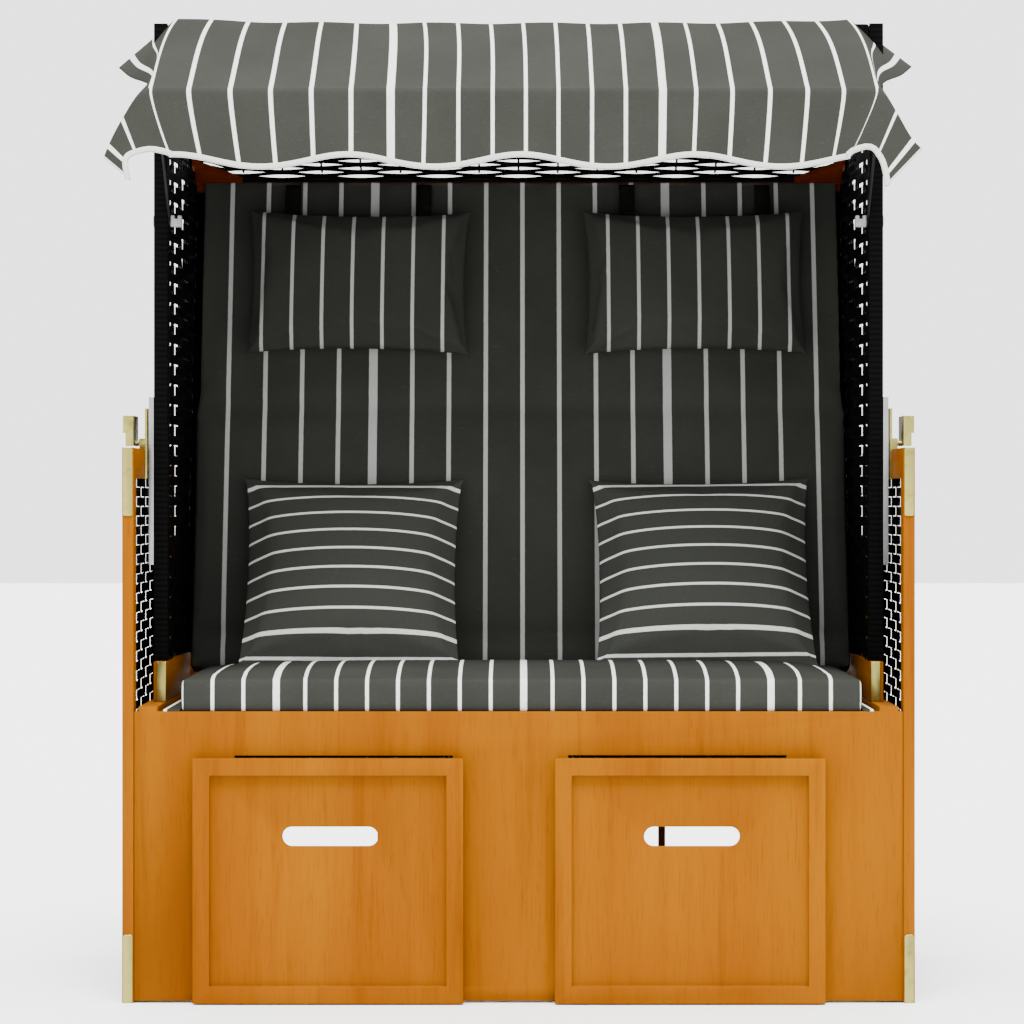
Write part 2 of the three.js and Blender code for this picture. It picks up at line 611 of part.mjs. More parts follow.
// Hood side frame: front post, roof member and rear member as one piece.
const roofUnderLine = [[HOOD_FRONT, HOOD_TOP - roofDrop], roofDirection];
const rearInnerLine = [[HOOD_BACK_FOOT - HOOD_REAR_DEPTH, HOOD_FOOT], backDirection];
const postBack = HOOD_FRONT + HOOD_POST_DEPTH;
const innerRear = meet(roofUnderLine, rearInnerLine);
function hoodFrame() {
  const shape = outline([
    [HOOD_FRONT, HOOD_FOOT], [postBack, HOOD_FOOT], [postBack, roofUnder(postBack)],
    innerRear, [HOOD_BACK_FOOT - HOOD_REAR_DEPTH, HOOD_FOOT], [HOOD_BACK_FOOT, HOOD_FOOT],
    hoodCrest, [HOOD_FRONT, HOOD_TOP],
  ]);
  const span = [hoodInner - OVERRUN, hoodOuter + OVERRUN];
  return cut(
    alongX(shape, [hoodInner, hoodOuter]),
    rodX(PIVOT_RADIUS + BORE_GAP, span, pivotY, PIVOT_Z),
    rodX(AWNING_PIN_RADIUS + BORE_GAP, span, LATCH_Y, AWNING_PIVOT_Z));
}
addPair('hood_frame', hoodFrame(), WICKER);

// Hood side wicker, in the middle of the frame.
function hoodWicker() {
  const slant = GAP / Math.cos(BACK_LEAN);
  const drop = GAP / Math.cos(ROOF_SLOPE);
  const rearFoot = HOOD_BACK_FOOT - HOOD_REAR_DEPTH - slant;
  const topRear = meet(
    [[HOOD_FRONT, HOOD_TOP - roofDrop - drop], roofDirection], [[rearFoot, HOOD_FOOT], backDirection]);
  const middle = (hoodInner + hoodOuter) / 2;
  return alongX(outline([
    [postBack + GAP, HOOD_FOOT], [rearFoot, HOOD_FOOT], topRear,
    [postBack + GAP, roofUnder(postBack + GAP) - drop],
  ]), [middle - HOOD_WICKER_THICKNESS / 2, middle + HOOD_WICKER_THICKNESS / 2]);
}
addPair('hood_wicker', hoodWicker(), WICKER);

// Wooden bottom rail of the hood side, with a brass plate on its nose.
const railTop = HOOD_FOOT - GAP;
addPair('hood_rail', box(
  [hoodInner, hoodInner + HOOD_RAIL_WIDTH],
  [HOOD_FRONT - HOOD_RAIL_NOSE, HOOD_BACK_FOOT + HOOD_RAIL_TAIL],
  [railTop - HOOD_RAIL_HEIGHT, railTop]), WOOD);
const noseY = HOOD_FRONT - HOOD_RAIL_NOSE - GAP;
addPair('hood_plate', box(
  [hoodInner, hoodInner + HOOD_PLATE_WIDTH],
  [noseY - PLATE_THICKNESS, noseY],
  [railTop - HOOD_RAIL_HEIGHT, railTop]), BRASS);

// Roof and back: three cross rails and two wicker panels between the sides. The roof's weave is open.
const crossSpan = [-crossHalf, crossHalf];
const roofRailBack = HOOD_FRONT + ROOF_FRONT_RAIL_DEPTH;
addPiece('roof_front_rail', alongX(outline([
  [HOOD_FRONT, roofUnder(HOOD_FRONT)], [roofRailBack, roofUnder(roofRailBack)],
  [roofRailBack, roofTop(roofRailBack)], [HOOD_FRONT, HOOD_TOP],
]), crossSpan), WICKER);
const rearRailFront = hoodCrest[0] - REAR_RAIL_COVER;
const backInnerLine = [[HOOD_BACK_FOOT - backInset, HOOD_FOOT], backDirection];
const roofCorner = meet(roofUnderLine, backInnerLine);
const rearRailBottom = roofCorner[1] - REAR_RAIL_HEIGHT;
addPiece('roof_rear_rail', alongX(outline([
  [backInner(rearRailBottom), rearRailBottom], [backOuter(rearRailBottom), rearRailBottom],
  hoodCrest, [rearRailFront, roofTop(rearRailFront)], [rearRailFront, roofUnder(rearRailFront)], roofCorner,
]), crossSpan), WOOD);
const backRailTop = HOOD_FOOT + BACK_RAIL_HEIGHT;
addPiece('back_bottom_rail', alongX(outline([
  [backInner(HOOD_FOOT), HOOD_FOOT], [HOOD_BACK_FOOT, HOOD_FOOT],
  [backOuter(backRailTop), backRailTop], [backInner(backRailTop), backRailTop],
]), crossSpan), WICKER);
const roofPanelFront = roofRailBack + GAP;
const roofPanelBack = rearRailFront - GAP;
const roofPanelDrop = ROOF_WICKER_THICKNESS / Math.cos(ROOF_SLOPE);
const roofPanelTop = (y) => roofTop(y) - (roofDrop - roofPanelDrop) / 2;
function roofWicker() {
  const panel = alongX(outline([
    [roofPanelFront, roofPanelTop(roofPanelFront) - roofPanelDrop],
    [roofPanelBack, roofPanelTop(roofPanelBack) - roofPanelDrop],
    [roofPanelBack, roofPanelTop(roofPanelBack)], [roofPanelFront, roofPanelTop(roofPanelFront)],
  ]), crossSpan);
  const across = 2 * crossHalf / ROOF_SLOT_COLUMNS;
  const along = (roofPanelBack - roofPanelFront) / ROOF_SLOT_ROWS;
  const slots = [];
  for (let row = 0; row < ROOF_SLOT_ROWS; row += 1) {
    for (let column = 0; column < ROOF_SLOT_COLUMNS; column += 1) {
      const slot = box(
        [-ROOF_SLOT_LENGTH / 2, ROOF_SLOT_LENGTH / 2], [-ROOF_SLOT_HEIGHT / 2, ROOF_SLOT_HEIGHT / 2],
        [-ROOF_WICKER_THICKNESS, ROOF_WICKER_THICKNESS]);
      const y = roofPanelFront + (row + 1 / 2) * along;
      slots.push(slot.rotateX(-ROOF_SLOPE).translate(
        (column + 1 / 2) * across - crossHalf, y, roofPanelTop(y) - roofPanelDrop / 2));
    }
  }
  return cut(panel, ...slots);
}
addPiece('roof_wicker', roofWicker(), WICKER);
const backPanelInset = ROOF_WICKER_THICKNESS / Math.cos(BACK_LEAN);
const backPanelOuter = (z) => backOuter(z) - (backInset - backPanelInset) / 2;
const backPanelBottom = backRailTop + GAP;
const backPanelTop = rearRailBottom - GAP;
addPiece('back_wicker', alongX(outline([
  [backPanelOuter(backPanelBottom) - backPanelInset, backPanelBottom],
  [backPanelOuter(backPanelBottom), backPanelBottom],
  [backPanelOuter(backPanelTop), backPanelTop],
  [backPanelOuter(backPanelTop) - backPanelInset, backPanelTop],
]), crossSpan), WICKER);

// Corner brace: a wooden triangle in the angle of side and rear rail, just under the roof.
function cornerBrace() {
  const shape = outline([[crossHalf - BRACE_LEG, 0], [crossHalf, -BRACE_LEG], [crossHalf, 0]]);
  const geometry = new THREE.ExtrudeGeometry(shape, { depth: BRACE_THICKNESS, bevelEnabled: false });
  const back = backFace(BACK_CUSHION_TOP - BRACE_THICKNESS) - GAP;
  geometry.translate(0, 0, -BRACE_THICKNESS - GAP);
  return geometry.rotateX(-ROOF_SLOPE).translate(0, back, roofUnder(back));
}
addPair('corner_brace', cornerBrace(), WOOD);

// Adjuster bar on the front post, with a hole for each tilt of the hood.
function adjusterBar() {
  const span = [hoodOuter + GAP, adjusterOuter];
  const [dy, dz] = [LATCH_Y - pivotY, latchZ - PIVOT_Z];
  const spots = Array.from({ length: TILT_HOLES }, (_, step) => {
    const tilt = step * TILT_STEP;
    return [
      pivotY + dy * Math.cos(tilt) - dz * Math.sin(tilt),
      PIVOT_Z + dy * Math.sin(tilt) + dz * Math.cos(tilt)];
  });
  const bottom = Math.min(...spots.map((spot) => spot[1])) - ADJUSTER_MARGIN;
  const bar = box(span, [HOOD_FRONT, HOOD_FRONT + ADJUSTER_DEPTH], [bottom, BASE_HEIGHT + ADJUSTER_RISE]);
  const holes = spots.map(([y, z]) => (
    rodX(LATCH_RADIUS + BORE_GAP, [span[0] - OVERRUN, span[1] + OVERRUN], y, z)));
  return cut(bar, ...holes);
}
addPair('adjuster_bar', adjusterBar(), STEEL);

// Footrests: the panel with its recess and finger hole, the platform on two rails and its cushion.
const footrestBack = FRONT_BOARD_SETBACK - FOOTREST_GAP;
const footrestFront = footrestBack - FOOTREST_THICKNESS;
function addFootrest(side) {
  const centre = FOOTREST_CENTRES[side];
  const window = WINDOW_CENTRES[side];
  const half = FOOTREST_WIDTH / 2;
  const board = box(
    [centre - half, centre + half], [footrestFront, footrestBack], [FOOTREST_BOTTOM, FOOTREST_TOP]);
  const recess = box(
    [centre - half + FOOTREST_BORDER, centre + half - FOOTREST_BORDER],
    [footrestFront - OVERRUN, footrestFront + FOOTREST_RECESS],
    [FOOTREST_BOTTOM + FOOTREST_BORDER, FOOTREST_TOP - FOOTREST_BORDER]);
  const holeZ = (FOOTREST_BOTTOM + FOOTREST_TOP) / 2 + FINGER_HOLE_RISE;
  const hole = pillAlongY(
    FINGER_HOLE_WIDTH, FINGER_HOLE_HEIGHT, centre + FINGER_HOLE_SHIFT, holeZ,
    [footrestFront, footrestBack + OVERRUN]);
  addPiece(`${side}_footrest_front`, cut(board, recess, hole), WOOD);
  const wide = PLATFORM_WIDTH / 2;
  const depth = [footrestBack + GAP, footrestBack + GAP + PLATFORM_DEPTH];
  const railSpan = [platformBottom - PLATFORM_RAIL_HEIGHT, platformBottom + PLATFORM_THICKNESS / 2];
  addPiece(`${side}_footrest_platform`, join([
    box([window - wide, window + wide], depth, [platformBottom, PLATFORM_TOP]),
    box([window - wide, window - wide + PLATFORM_RAIL_WIDTH], depth, railSpan),
    box([window + wide - PLATFORM_RAIL_WIDTH, window + wide], depth, railSpan),
  ]), WOOD);
  const cushionWidth = PLATFORM_WIDTH - FOOT_CUSHION_MARGIN * 2;
  const cushionDepth = PLATFORM_DEPTH - FOOT_CUSHION_MARGIN * 2;
  const cushion = pad({
    size: [cushionWidth, cushionDepth, FOOT_CUSHION_THICKNESS], squareness: FOOT_CUSHION_SQUARENESS,
    grid: [8, 8] });
  cushion.translate(
    window, (depth[0] + depth[1]) / 2, PLATFORM_TOP + GAP + FOOT_CUSHION_THICKNESS / 2);
  addPiece(`${side}_footrest_cushion`, cushion, CLOTH);
}
SIDES.forEach(addFootrest);

// Runners: screwed behind the front board beside each window, ending at the rear seat support.
for (const side of SIDES) {
  for (const [place, sign] of [['outer', outward[side]], ['inner', -outward[side]]]) {
    const near = WINDOW_CENTRES[side] + sign * (PLATFORM_WIDTH / 2 - PLATFORM_RAIL_WIDTH);
    const far = WINDOW_CENTRES[side] + sign * (WINDOW_WIDTH / 2 + RUNNER_LANDING);
    addPiece(`${side}_${place}_runner`, box(
      [Math.min(near, far), Math.max(near, far)], [boardBack + GAP, supportFront - GAP],
      [runnerBottom, runnerTop]), WOOD);
  }
}

// Awning knob: grip inside the bow's arm, pin through arm and post, and a rivet head outside the post.
const bowOuter = hoodInner - GAP;
const bowInner = bowOuter - AWNING_ARM_THICKNESS;
function awningKnob() {
  const gripEnd = bowInner - GAP;
  const y = [LATCH_Y - KNOB_DEPTH / 2, LATCH_Y + KNOB_DEPTH / 2];
  const top = AWNING_PIVOT_Z + KNOB_HEIGHT / 2;
  const grip = box([gripEnd - KNOB_LENGTH, gripEnd], y, [AWNING_PIVOT_Z - KNOB_HEIGHT / 2, top]);
  const middle = gripEnd - KNOB_LENGTH / 2;
  const notch = box(
    [middle - KNOB_NOTCH / 2, middle + KNOB_NOTCH / 2], [y[0] - OVERRUN, y[1] + OVERRUN],
    [top - KNOB_NOTCH, top + OVERRUN]);
  const headStart = hoodOuter + GAP;
  return cut(join([
    grip,
    rodX(AWNING_PIN_RADIUS, [middle, headStart + RIVET_HEAD_THICKNESS / 2], LATCH_Y, AWNING_PIVOT_Z),
    rodX(PIVOT_COLLAR_RADIUS, [headStart, headStart + RIVET_HEAD_THICKNESS], LATCH_Y, AWNING_PIVOT_Z),
  ]), notch);
}
addPair('awning_knob', awningKnob(), KNOB_GREY);

// Awning bow: two flat arms inside the posts, each with an eye at the pivot, and a round bar across
// the front.
const armRun = [AWNING_BAR_Y - LATCH_Y, AWNING_BAR_Z - AWNING_PIVOT_Z];
const armLength = Math.hypot(...armRun);
const armAngle = Math.atan2(armRun[1], armRun[0]);
function bowArm() {
  const half = AWNING_ROD / 2;
  const arm = box([bowInner, bowOuter], [0, armLength], [-half, half]);
  arm.rotateX(armAngle).translate(0, LATCH_Y, AWNING_PIVOT_Z);
  const eye = rodX(AWNING_EYE_RADIUS, [bowInner, bowOuter], LATCH_Y, AWNING_PIVOT_Z);
  return join([arm, eye]);
}
function awningBow() {
  const arm = bowArm();
  const bar = rodX(AWNING_ROD / 2, [-bowOuter, bowOuter], AWNING_BAR_Y, AWNING_BAR_Z);
  const span = [-bowOuter - OVERRUN, bowOuter + OVERRUN];
  const bore = rodX(AWNING_PIN_RADIUS + BORE_GAP, span, LATCH_Y, AWNING_PIVOT_Z);
  return cut(join([arm, mirrored(arm), bar]), bore);
}
addPiece('awning_bow', awningBow(), BLACK_METAL);

// Awning cloth. Its slope runs from the front edge of the roof over the bar, and its sides droop outward.
const clothHalf = CLOTH_WIDTH / 2;
const flatHalf = CLOTH_FLAT_WIDTH / 2;
const droopRun = clothHalf - flatHalf;
const barReach = AWNING_ROD / 2 + GAP;
const slopeStart = [HOOD_FRONT - GAP, HOOD_TOP - CLOTH_ROOF_DROP];
const slopeRun = [slopeStart[0] - AWNING_BAR_Y, slopeStart[1] - AWNING_BAR_Z];
const slopePitch = Math.atan2(slopeRun[1], slopeRun[0]) - Math.asin(barReach / Math.hypot(...slopeRun));
const slopeUnder = (y) => slopeStart[1] - (slopeStart[0] - y) * Math.tan(slopePitch);
const valanceBack = AWNING_BAR_Y - barReach;
const slopeEnd = [valanceBack - CLOTH_THICKNESS, slopeUnder(valanceBack - CLOTH_THICKNESS)];
const droopShare = (u) => Math.max(0, (Math.abs(u) - CLOTH_FOLD_SHARE) / (1 - CLOTH_FOLD_SHARE));
const flatShare = (u) => Math.min(1, Math.abs(u) / CLOTH_FOLD_SHARE);
const clothX = (u) => Math.sign(u) * (flatHalf * flatShare(u) + droopRun * droopShare(u));
const clothDroop = (u) => CLOTH_DROOP * droopShare(u) ** CLOTH_DROOP_SHARE;
function awningSlope() {
  const place = (u, v, side) => {
    const share = (v + 1) / 2;
    const half = hoodOuter + (clothHalf - hoodOuter) * share;
    const x = clothX(u) * half / clothHalf;
    const y = slopeStart[0] + (slopeEnd[0] - slopeStart[0]) * share;
    const z = slopeStart[1] + (slopeEnd[1] - slopeStart[1]) * share - clothDroop(u) * share;
    return [-x, y, z + (side > 0 ? CLOTH_THICKNESS : 0)];
  };
  return closedGrid(CLOTH_COLUMNS, 3, place);
}
addPiece('awning_slope', awningSlope(), CLOTH);

// Valance: hangs in front of the bar, gently waved, with a scalloped hem.
const valanceTop = slopeEnd[1] - GAP / Math.cos(slopePitch);
function awningValance() {
  const place = (u, v, side) => {
    const share = (1 - v) / 2;
    const x = clothX(u);
    const turn = (x - SCALLOP_CENTRE) / SCALLOP_PITCH * 2 * Math.PI;
    const hem = VALANCE_DROP + SCALLOP_DEPTH / 2 * Math.cos(turn);
    const wave = VALANCE_WAVE * (1 - Math.cos(2 * turn)) / 2;
    const y = valanceBack - wave * share;
    const z = valanceTop - clothDroop(u) - (hem - VALANCE_SIDE_DROP * droopShare(u)) * share;
    return [x, y - (side > 0 ? CLOTH_THICKNESS : 0), z];
  };
  return closedGrid(CLOTH_COLUMNS, 3, place);
}
addPiece('awning_valance', awningValance(), CLOTH);

// Seat cushion: a rounded slab with a crown, on a flat lip that reaches to the seat rails.
const seatCushionBottom = DECK_TOP + GAP;
const seatCushionTop = seatCushionBottom + SEAT_CUSHION_THICKNESS;
function seatCushion() {
  const depth = SEAT_CUSHION_BACK - SEAT_CUSHION_FRONT;
  const slab = pad({
    size: [SEAT_CUSHION_WIDTH, depth, SEAT_CUSHION_THICKNESS], squareness: SEAT_CUSHION_SQUARENESS,
    crown: SEAT_CUSHION_CROWN, grid: [18, 16] });
  slab.translate(
    0, (SEAT_CUSHION_FRONT + SEAT_CUSHION_BACK) / 2, seatCushionBottom + SEAT_CUSHION_THICKNESS / 2);
  const lip = box(
    [-SEAT_LIP_WIDTH / 2, SEAT_LIP_WIDTH / 2],
    [deckFront + SEAT_LIP_THICKNESS, SEAT_CUSHION_BACK - SEAT_LIP_THICKNESS],
    [seatCushionBottom, seatCushionBottom + SEAT_LIP_THICKNESS]);
  return join([slab, lip]);
}
addPiece('seat_cushion', seatCushion(), CLOTH);

// Moves a pad that faces up so that it leans back by an angle from upright, its face to the front.
function lean(geometry, angle, x, y, z) {
  return geometry.rotateX(Math.PI / 2 - angle).translate(x, y, z);
}

// Back cushion: lies on the back, with two sewn channels.
const backCushionLength = (BACK_CUSHION_TOP - BACK_CUSHION_BOTTOM) / Math.cos(BACK_LEAN);
const backFaceCentreZ = (BACK_CUSHION_TOP + BACK_CUSHION_BOTTOM) / 2;
function backCushion() {
  const shareOf = (z) => (z - backFaceCentreZ) / ((BACK_CUSHION_TOP - BACK_CUSHION_BOTTOM) / 2);
  const cushion = pad({
    size: [BACK_CUSHION_WIDTH, backCushionLength, BACK_CUSHION_THICKNESS],
    squareness: BACK_CUSHION_SQUARENESS,
    channels: BACK_CHANNEL_HEIGHTS.map((z) => (
      { share: shareOf(z), depth: BACK_CHANNEL_DEPTH, width: BACK_CHANNEL_WIDTH })),
    grid: [10, 40] });
  cushion.translate(0, 0, -BACK_CUSHION_THICKNESS / 2);
  return lean(cushion, BACK_LEAN, 0, backFace(backFaceCentreZ), backFaceCentreZ);
}
addPiece('back_cushion', backCushion(), CLOTH);

// Head pillows lie on the back cushion, each with two straps up to its top edge.
function headPillow(side) {
  const pillow = pad({
    size: [HEAD_PILLOW_WIDTH, HEAD_PILLOW_HEIGHT, HEAD_PILLOW_THICKNESS], squareness: PILLOW_SQUARENESS,
    draw: PILLOW_DRAW,
    grid: [12, 10] });
  const lift = HEAD_PILLOW_THICKNESS / 2 + GAP;
  pillow.translate(0, 0, lift);
  const strapBottom = HEAD_PILLOW_HEIGHT / 2 - 2 * PILLOW_DRAW;
  const strapTop = HEAD_PILLOW_HEIGHT / 2 + STRAP_REACH;
  const strapShape = outline([
    [strapBottom, lift - STRAP_THICKNESS], [strapTop, GAP],
    [strapTop, GAP + STRAP_THICKNESS], [strapBottom, lift]]);
  const straps = [-STRAP_SPREAD / 2, STRAP_SPREAD / 2].map((x) => alongX(
    strapShape, [x - STRAP_WIDTH / 2, x + STRAP_WIDTH / 2]));
  const z = HEAD_PILLOW_CENTRE_Z;
  return lean(join([pillow, ...straps]), BACK_LEAN, pillowCentre(HEAD_PILLOW_INSETS, side), backFace(z), z);
}
SIDES.forEach((side) => addPiece(`${side}_head_pillow`, headPillow(side), CLOTH));

// How far a pillow's side reaches towards a plane that is turned from the pillow by an angle.
function bulge(halfHeight, halfThickness, angle) {
  const power = PILLOW_SQUARENESS / (PILLOW_SQUARENESS - 1);
  const sum = (halfHeight * Math.sin(angle)) ** power + (halfThickness * Math.cos(angle)) ** power;
  return sum ** (1 / power);
}

// Lumbar cushions stand on the seat cushion and lean against the back cushion.
function lumbarCushion(side) {
  const cushion = pad({
    size: [LUMBAR_WIDTH, LUMBAR_HEIGHT, LUMBAR_THICKNESS], squareness: PILLOW_SQUARENESS, draw: PILLOW_DRAW,
    grid: [14, 14] });
  const seatZ = seatCushionTop + SEAT_CUSHION_CROWN * LUMBAR_SEAT_SHARE;
  const centreZ = seatZ + GAP + LUMBAR_HEIGHT / 2 * Math.cos(LUMBAR_LEAN);
  const reach = bulge(LUMBAR_HEIGHT / 2 - PILLOW_DRAW, LUMBAR_THICKNESS / 2, LUMBAR_LEAN - BACK_LEAN);
  const y = backFace(centreZ) - (reach + GAP) / Math.cos(BACK_LEAN);
  return lean(cushion, LUMBAR_LEAN, pillowCentre(LUMBAR_INSETS, side), y, centreZ);
}
SIDES.forEach((side) => addPiece(`${side}_lumbar_cushion`, lumbarCushion(side), CLOTH));

// The origin is the middle of the bottom of the whole chair.
const bounds = new THREE.Box3().setFromObject(group);
const middle = bounds.getCenter(new THREE.Vector3());
for (const mesh of group.children) mesh.geometry.translate(-middle.x, -middle.y, -bounds.min.z);

export default group;
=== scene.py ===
# Two-seat hooded beach chair: an oiled wooden base, a tilting wicker hood, striped cushions and an awning.
# Metres, +Z up, front towards -Y. Left is -X, as seen from the front.
import json
import math

import bmesh
import bpy
import numpy as np
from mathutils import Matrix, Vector


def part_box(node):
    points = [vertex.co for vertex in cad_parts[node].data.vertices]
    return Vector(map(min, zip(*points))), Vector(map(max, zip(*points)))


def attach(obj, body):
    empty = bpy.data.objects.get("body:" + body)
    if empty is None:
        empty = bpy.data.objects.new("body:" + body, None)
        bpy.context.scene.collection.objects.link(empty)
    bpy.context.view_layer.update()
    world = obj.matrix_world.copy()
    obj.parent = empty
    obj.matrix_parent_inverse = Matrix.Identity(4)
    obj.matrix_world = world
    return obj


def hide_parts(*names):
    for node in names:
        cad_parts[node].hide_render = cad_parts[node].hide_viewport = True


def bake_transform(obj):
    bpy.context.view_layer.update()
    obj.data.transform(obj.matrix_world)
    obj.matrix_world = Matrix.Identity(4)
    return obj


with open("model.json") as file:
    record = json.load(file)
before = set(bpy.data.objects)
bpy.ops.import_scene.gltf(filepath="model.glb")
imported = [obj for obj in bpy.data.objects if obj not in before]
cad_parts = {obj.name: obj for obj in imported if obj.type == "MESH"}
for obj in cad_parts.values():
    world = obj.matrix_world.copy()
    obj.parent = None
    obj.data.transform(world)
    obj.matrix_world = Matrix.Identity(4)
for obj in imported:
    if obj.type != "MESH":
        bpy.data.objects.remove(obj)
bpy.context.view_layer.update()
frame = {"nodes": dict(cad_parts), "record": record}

SIDES = ("left", "right")

# Studio. A wide pale floor, an even white surround and one soft high light from the front.
# The camera stands level, 5.8 m in front of the chair and a little above the seat.
VIEW_DISTANCE = 6.158008
VIEW_HEIGHT = 0.738
VIEW_LENS = 138.2
VIEW_SHIFT = (-0.00635, -0.00879)
FLOOR_HALF = 30.0
FLOOR_COLOUR = (0.86, 0.86, 0.85)
SURROUND_STRENGTH = 2.8
KEY_STRENGTH = 9.5
KEY_SOFTNESS = 0.5
KEY_HEIGHT_ANGLE = 66.0

camera_data = bpy.data.cameras.new("camera")
camera_data.lens = VIEW_LENS
camera_data.shift_x, camera_data.shift_y = VIEW_SHIFT
camera = bpy.data.objects.new("camera", camera_data)
camera.location = (0, -VIEW_DISTANCE, VIEW_HEIGHT)
camera.rotation_euler = (math.pi / 2, 0, 0)
bpy.context.scene.collection.objects.link(camera)
bpy.context.scene.camera = camera

key_data = bpy.data.lights.new("high_front_light", "SUN")
key_data.energy = KEY_STRENGTH
key_data.angle = KEY_SOFTNESS
key = bpy.data.objects.new("high_front_light", key_data)
key.rotation_euler = (math.radians(90 - KEY_HEIGHT_ANGLE), 0, 0)
bpy.context.scene.collection.objects.link(key)

surround = bpy.data.worlds.new("surround")
surround.use_nodes = True
surround.node_tree.nodes["Background"].inputs["Color"].default_value = (1, 1, 1, 1)
surround.node_tree.nodes["Background"].inputs["Strength"].default_value = SURROUND_STRENGTH
bpy.context.scene.world = surround


class Signal:
    """A number that varies over a surface. Arithmetic on it adds Math nodes, by the loop below."""

    def __init__(self, finish, socket):
        self.finish = finish
        self.socket = socket

    def maths(self, operation, *values):
        return self.finish.add("ShaderNodeMath", {"operation": operation}, dict(enumerate((self, *values))))


for way, kind in (("add", "ADD"), ("radd", "ADD"), ("mul", "MULTIPLY"), ("truediv", "DIVIDE"),
                  ("sub", "SUBTRACT"), ("gt", "GREATER_THAN"), ("lt", "LESS_THAN")):
    setattr(Signal, f"__{way}__", lambda self, other, kind=kind: self.maths(kind, other))


class Finish:
    """A surface finish, built from nodes around one shader."""

    def __init__(self, name, roughness, metallic=0.0, **constants):
        self.material = bpy.data.materials.new(name)
        self.material.use_nodes = True
        self.tree = self.material.node_tree
        self.shader = self.tree.nodes["Principled BSDF"]
        self.shader.inputs["Roughness"].default_value = roughness
        self.shader.inputs["Metallic"].default_value = metallic
        for socket, value in constants.items():
            self.shader.inputs[socket.replace("_", " ")].default_value = value

    def add(self, kind, settings=None, sockets=None, out=0):
        """Adds one node: its settings first, then the value or link of each socket. Gives one output."""
        node = self.tree.nodes.new(kind)
        for setting, value in (settings or {}).items():
            setattr(node, setting, value)
        for socket, value in (sockets or {}).items():
            self.feed(node.inputs[socket], value)
        return Signal(self, node.outputs[out])

    def feed(self, socket, value):
        if isinstance(value, Signal):
            self.tree.links.new(value.socket, socket)
        else:
            socket.default_value = value

    def place(self, stretch=(1, 1, 1)):
        """Where a point lies on the object, with each direction stretched."""
        where = self.add("ShaderNodeTexCoord", out="Object")
        return self.add("ShaderNodeMapping", {}, {"Vector": where, "Scale": stretch})

    def axis(self, letter):
        split = self.add("ShaderNodeSeparateXYZ", {}, {0: self.add("ShaderNodeTexCoord", out="Object")})
        return Signal(self, split.socket.node.outputs[letter])

    def noise(self, where, scale, detail=4.0, rough=0.55, warp=0.0):
        """Noise with about scale features to the metre."""
        return self.add("ShaderNodeTexNoise", {}, {
            "Vector": where, "Scale": scale, "Detail": detail, "Roughness": rough, "Distortion": warp})

    def ramp(self, signal, stops):
        """A soft step from 0 to 1 between two stops."""
        return self.add("ShaderNodeMapRange", {"interpolation_type": "SMOOTHSTEP"}, {
            "Value": signal, "From Min": stops[0], "From Max": stops[1]})

    def blend(self, share, first, second):
        """One colour over another, by a share from 0 to 1."""
        node = self.tree.nodes.new("ShaderNodeMix")
        node.data_type = "RGBA"
        self.feed(node.inputs[0], share)
        for socket, colour in ((node.inputs[6], first), (node.inputs[7], second)):
            self.feed(socket, colour if isinstance(colour, Signal) else (*colour, 1))
        return Signal(self, node.outputs[2])

    def colour(self, signal):
        self.feed(self.shader.inputs["Base Color"], signal)

    def roughness(self, signal):
        self.feed(self.shader.inputs["Roughness"], signal)

    def relief(self, height, depth, strength):
        """Raises and lowers the surface by up to depth metres."""
        bump = self.add("ShaderNodeBump", {}, {"Height": height, "Distance": depth, "Strength": strength})
        self.feed(self.shader.inputs["Normal"], bump)


def sheet_faces(rows, columns, closed=False):
    """Faces of points laid out row by row: each joins four neighbours. Closed, each row is a ring."""
    row = np.arange(rows - 1)[:, None]
    column = np.arange(columns if closed else columns - 1)[None, :]
    after = (column + 1) % columns
    corners = [row * columns + column, row * columns + after,
               (row + 1) * columns + after, (row + 1) * columns + column]
    return np.stack(corners, axis=-1).reshape(-1, 4)


def show(name, mesh, finish, smooth=True):
    """Puts a mesh into the scene in one finish."""
    mesh.polygons.foreach_set("use_smooth", [smooth] * len(mesh.polygons))
    mesh.materials.clear()
    mesh.materials.append(finish.material)
    piece = bpy.data.objects.new(name, mesh)
    bpy.context.scene.collection.objects.link(piece)
    return piece


def make(name, points, faces, finish, body, slot, smooth=True, stripe=None, closed=True):
    """A piece from whole arrays: points, faces of any sides, and for cloth each point's stripe count."""
    mesh = bpy.data.meshes.new(name)
    mesh.from_pydata(np.asarray(points).tolist(), [], [list(face) for face in faces])
    if stripe is not None:
        values = np.asarray(stripe, dtype=np.float32).ravel()
        mesh.attributes.new("stripe", "FLOAT", "POINT").data.foreach_set("value", values)
    if closed:
        shape = bmesh.new()
        shape.from_mesh(mesh)
        bmesh.ops.recalc_face_normals(shape, faces=shape.faces)
        shape.to_mesh(mesh)
        shape.free()
    piece = show(name, mesh, finish, smooth)
    if body:
        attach(piece, body)
    return piece


floor_finish = Finish("pale_floor", 0.6)
floor_grain = floor_finish.noise(floor_finish.place(), 40.0)
floor_finish.colour(floor_finish.blend(floor_grain * 0.05, FLOOR_COLOUR, (1, 1, 1)))
floor_corners = [(x, y, 0) for x, y in ((-1, -1), (1, -1), (1, 1), (-1, 1))]
floor = make("floor", np.array(floor_corners) * FLOOR_HALF, [(0, 1, 2, 3)], floor_finish, None, None,
             closed=False)

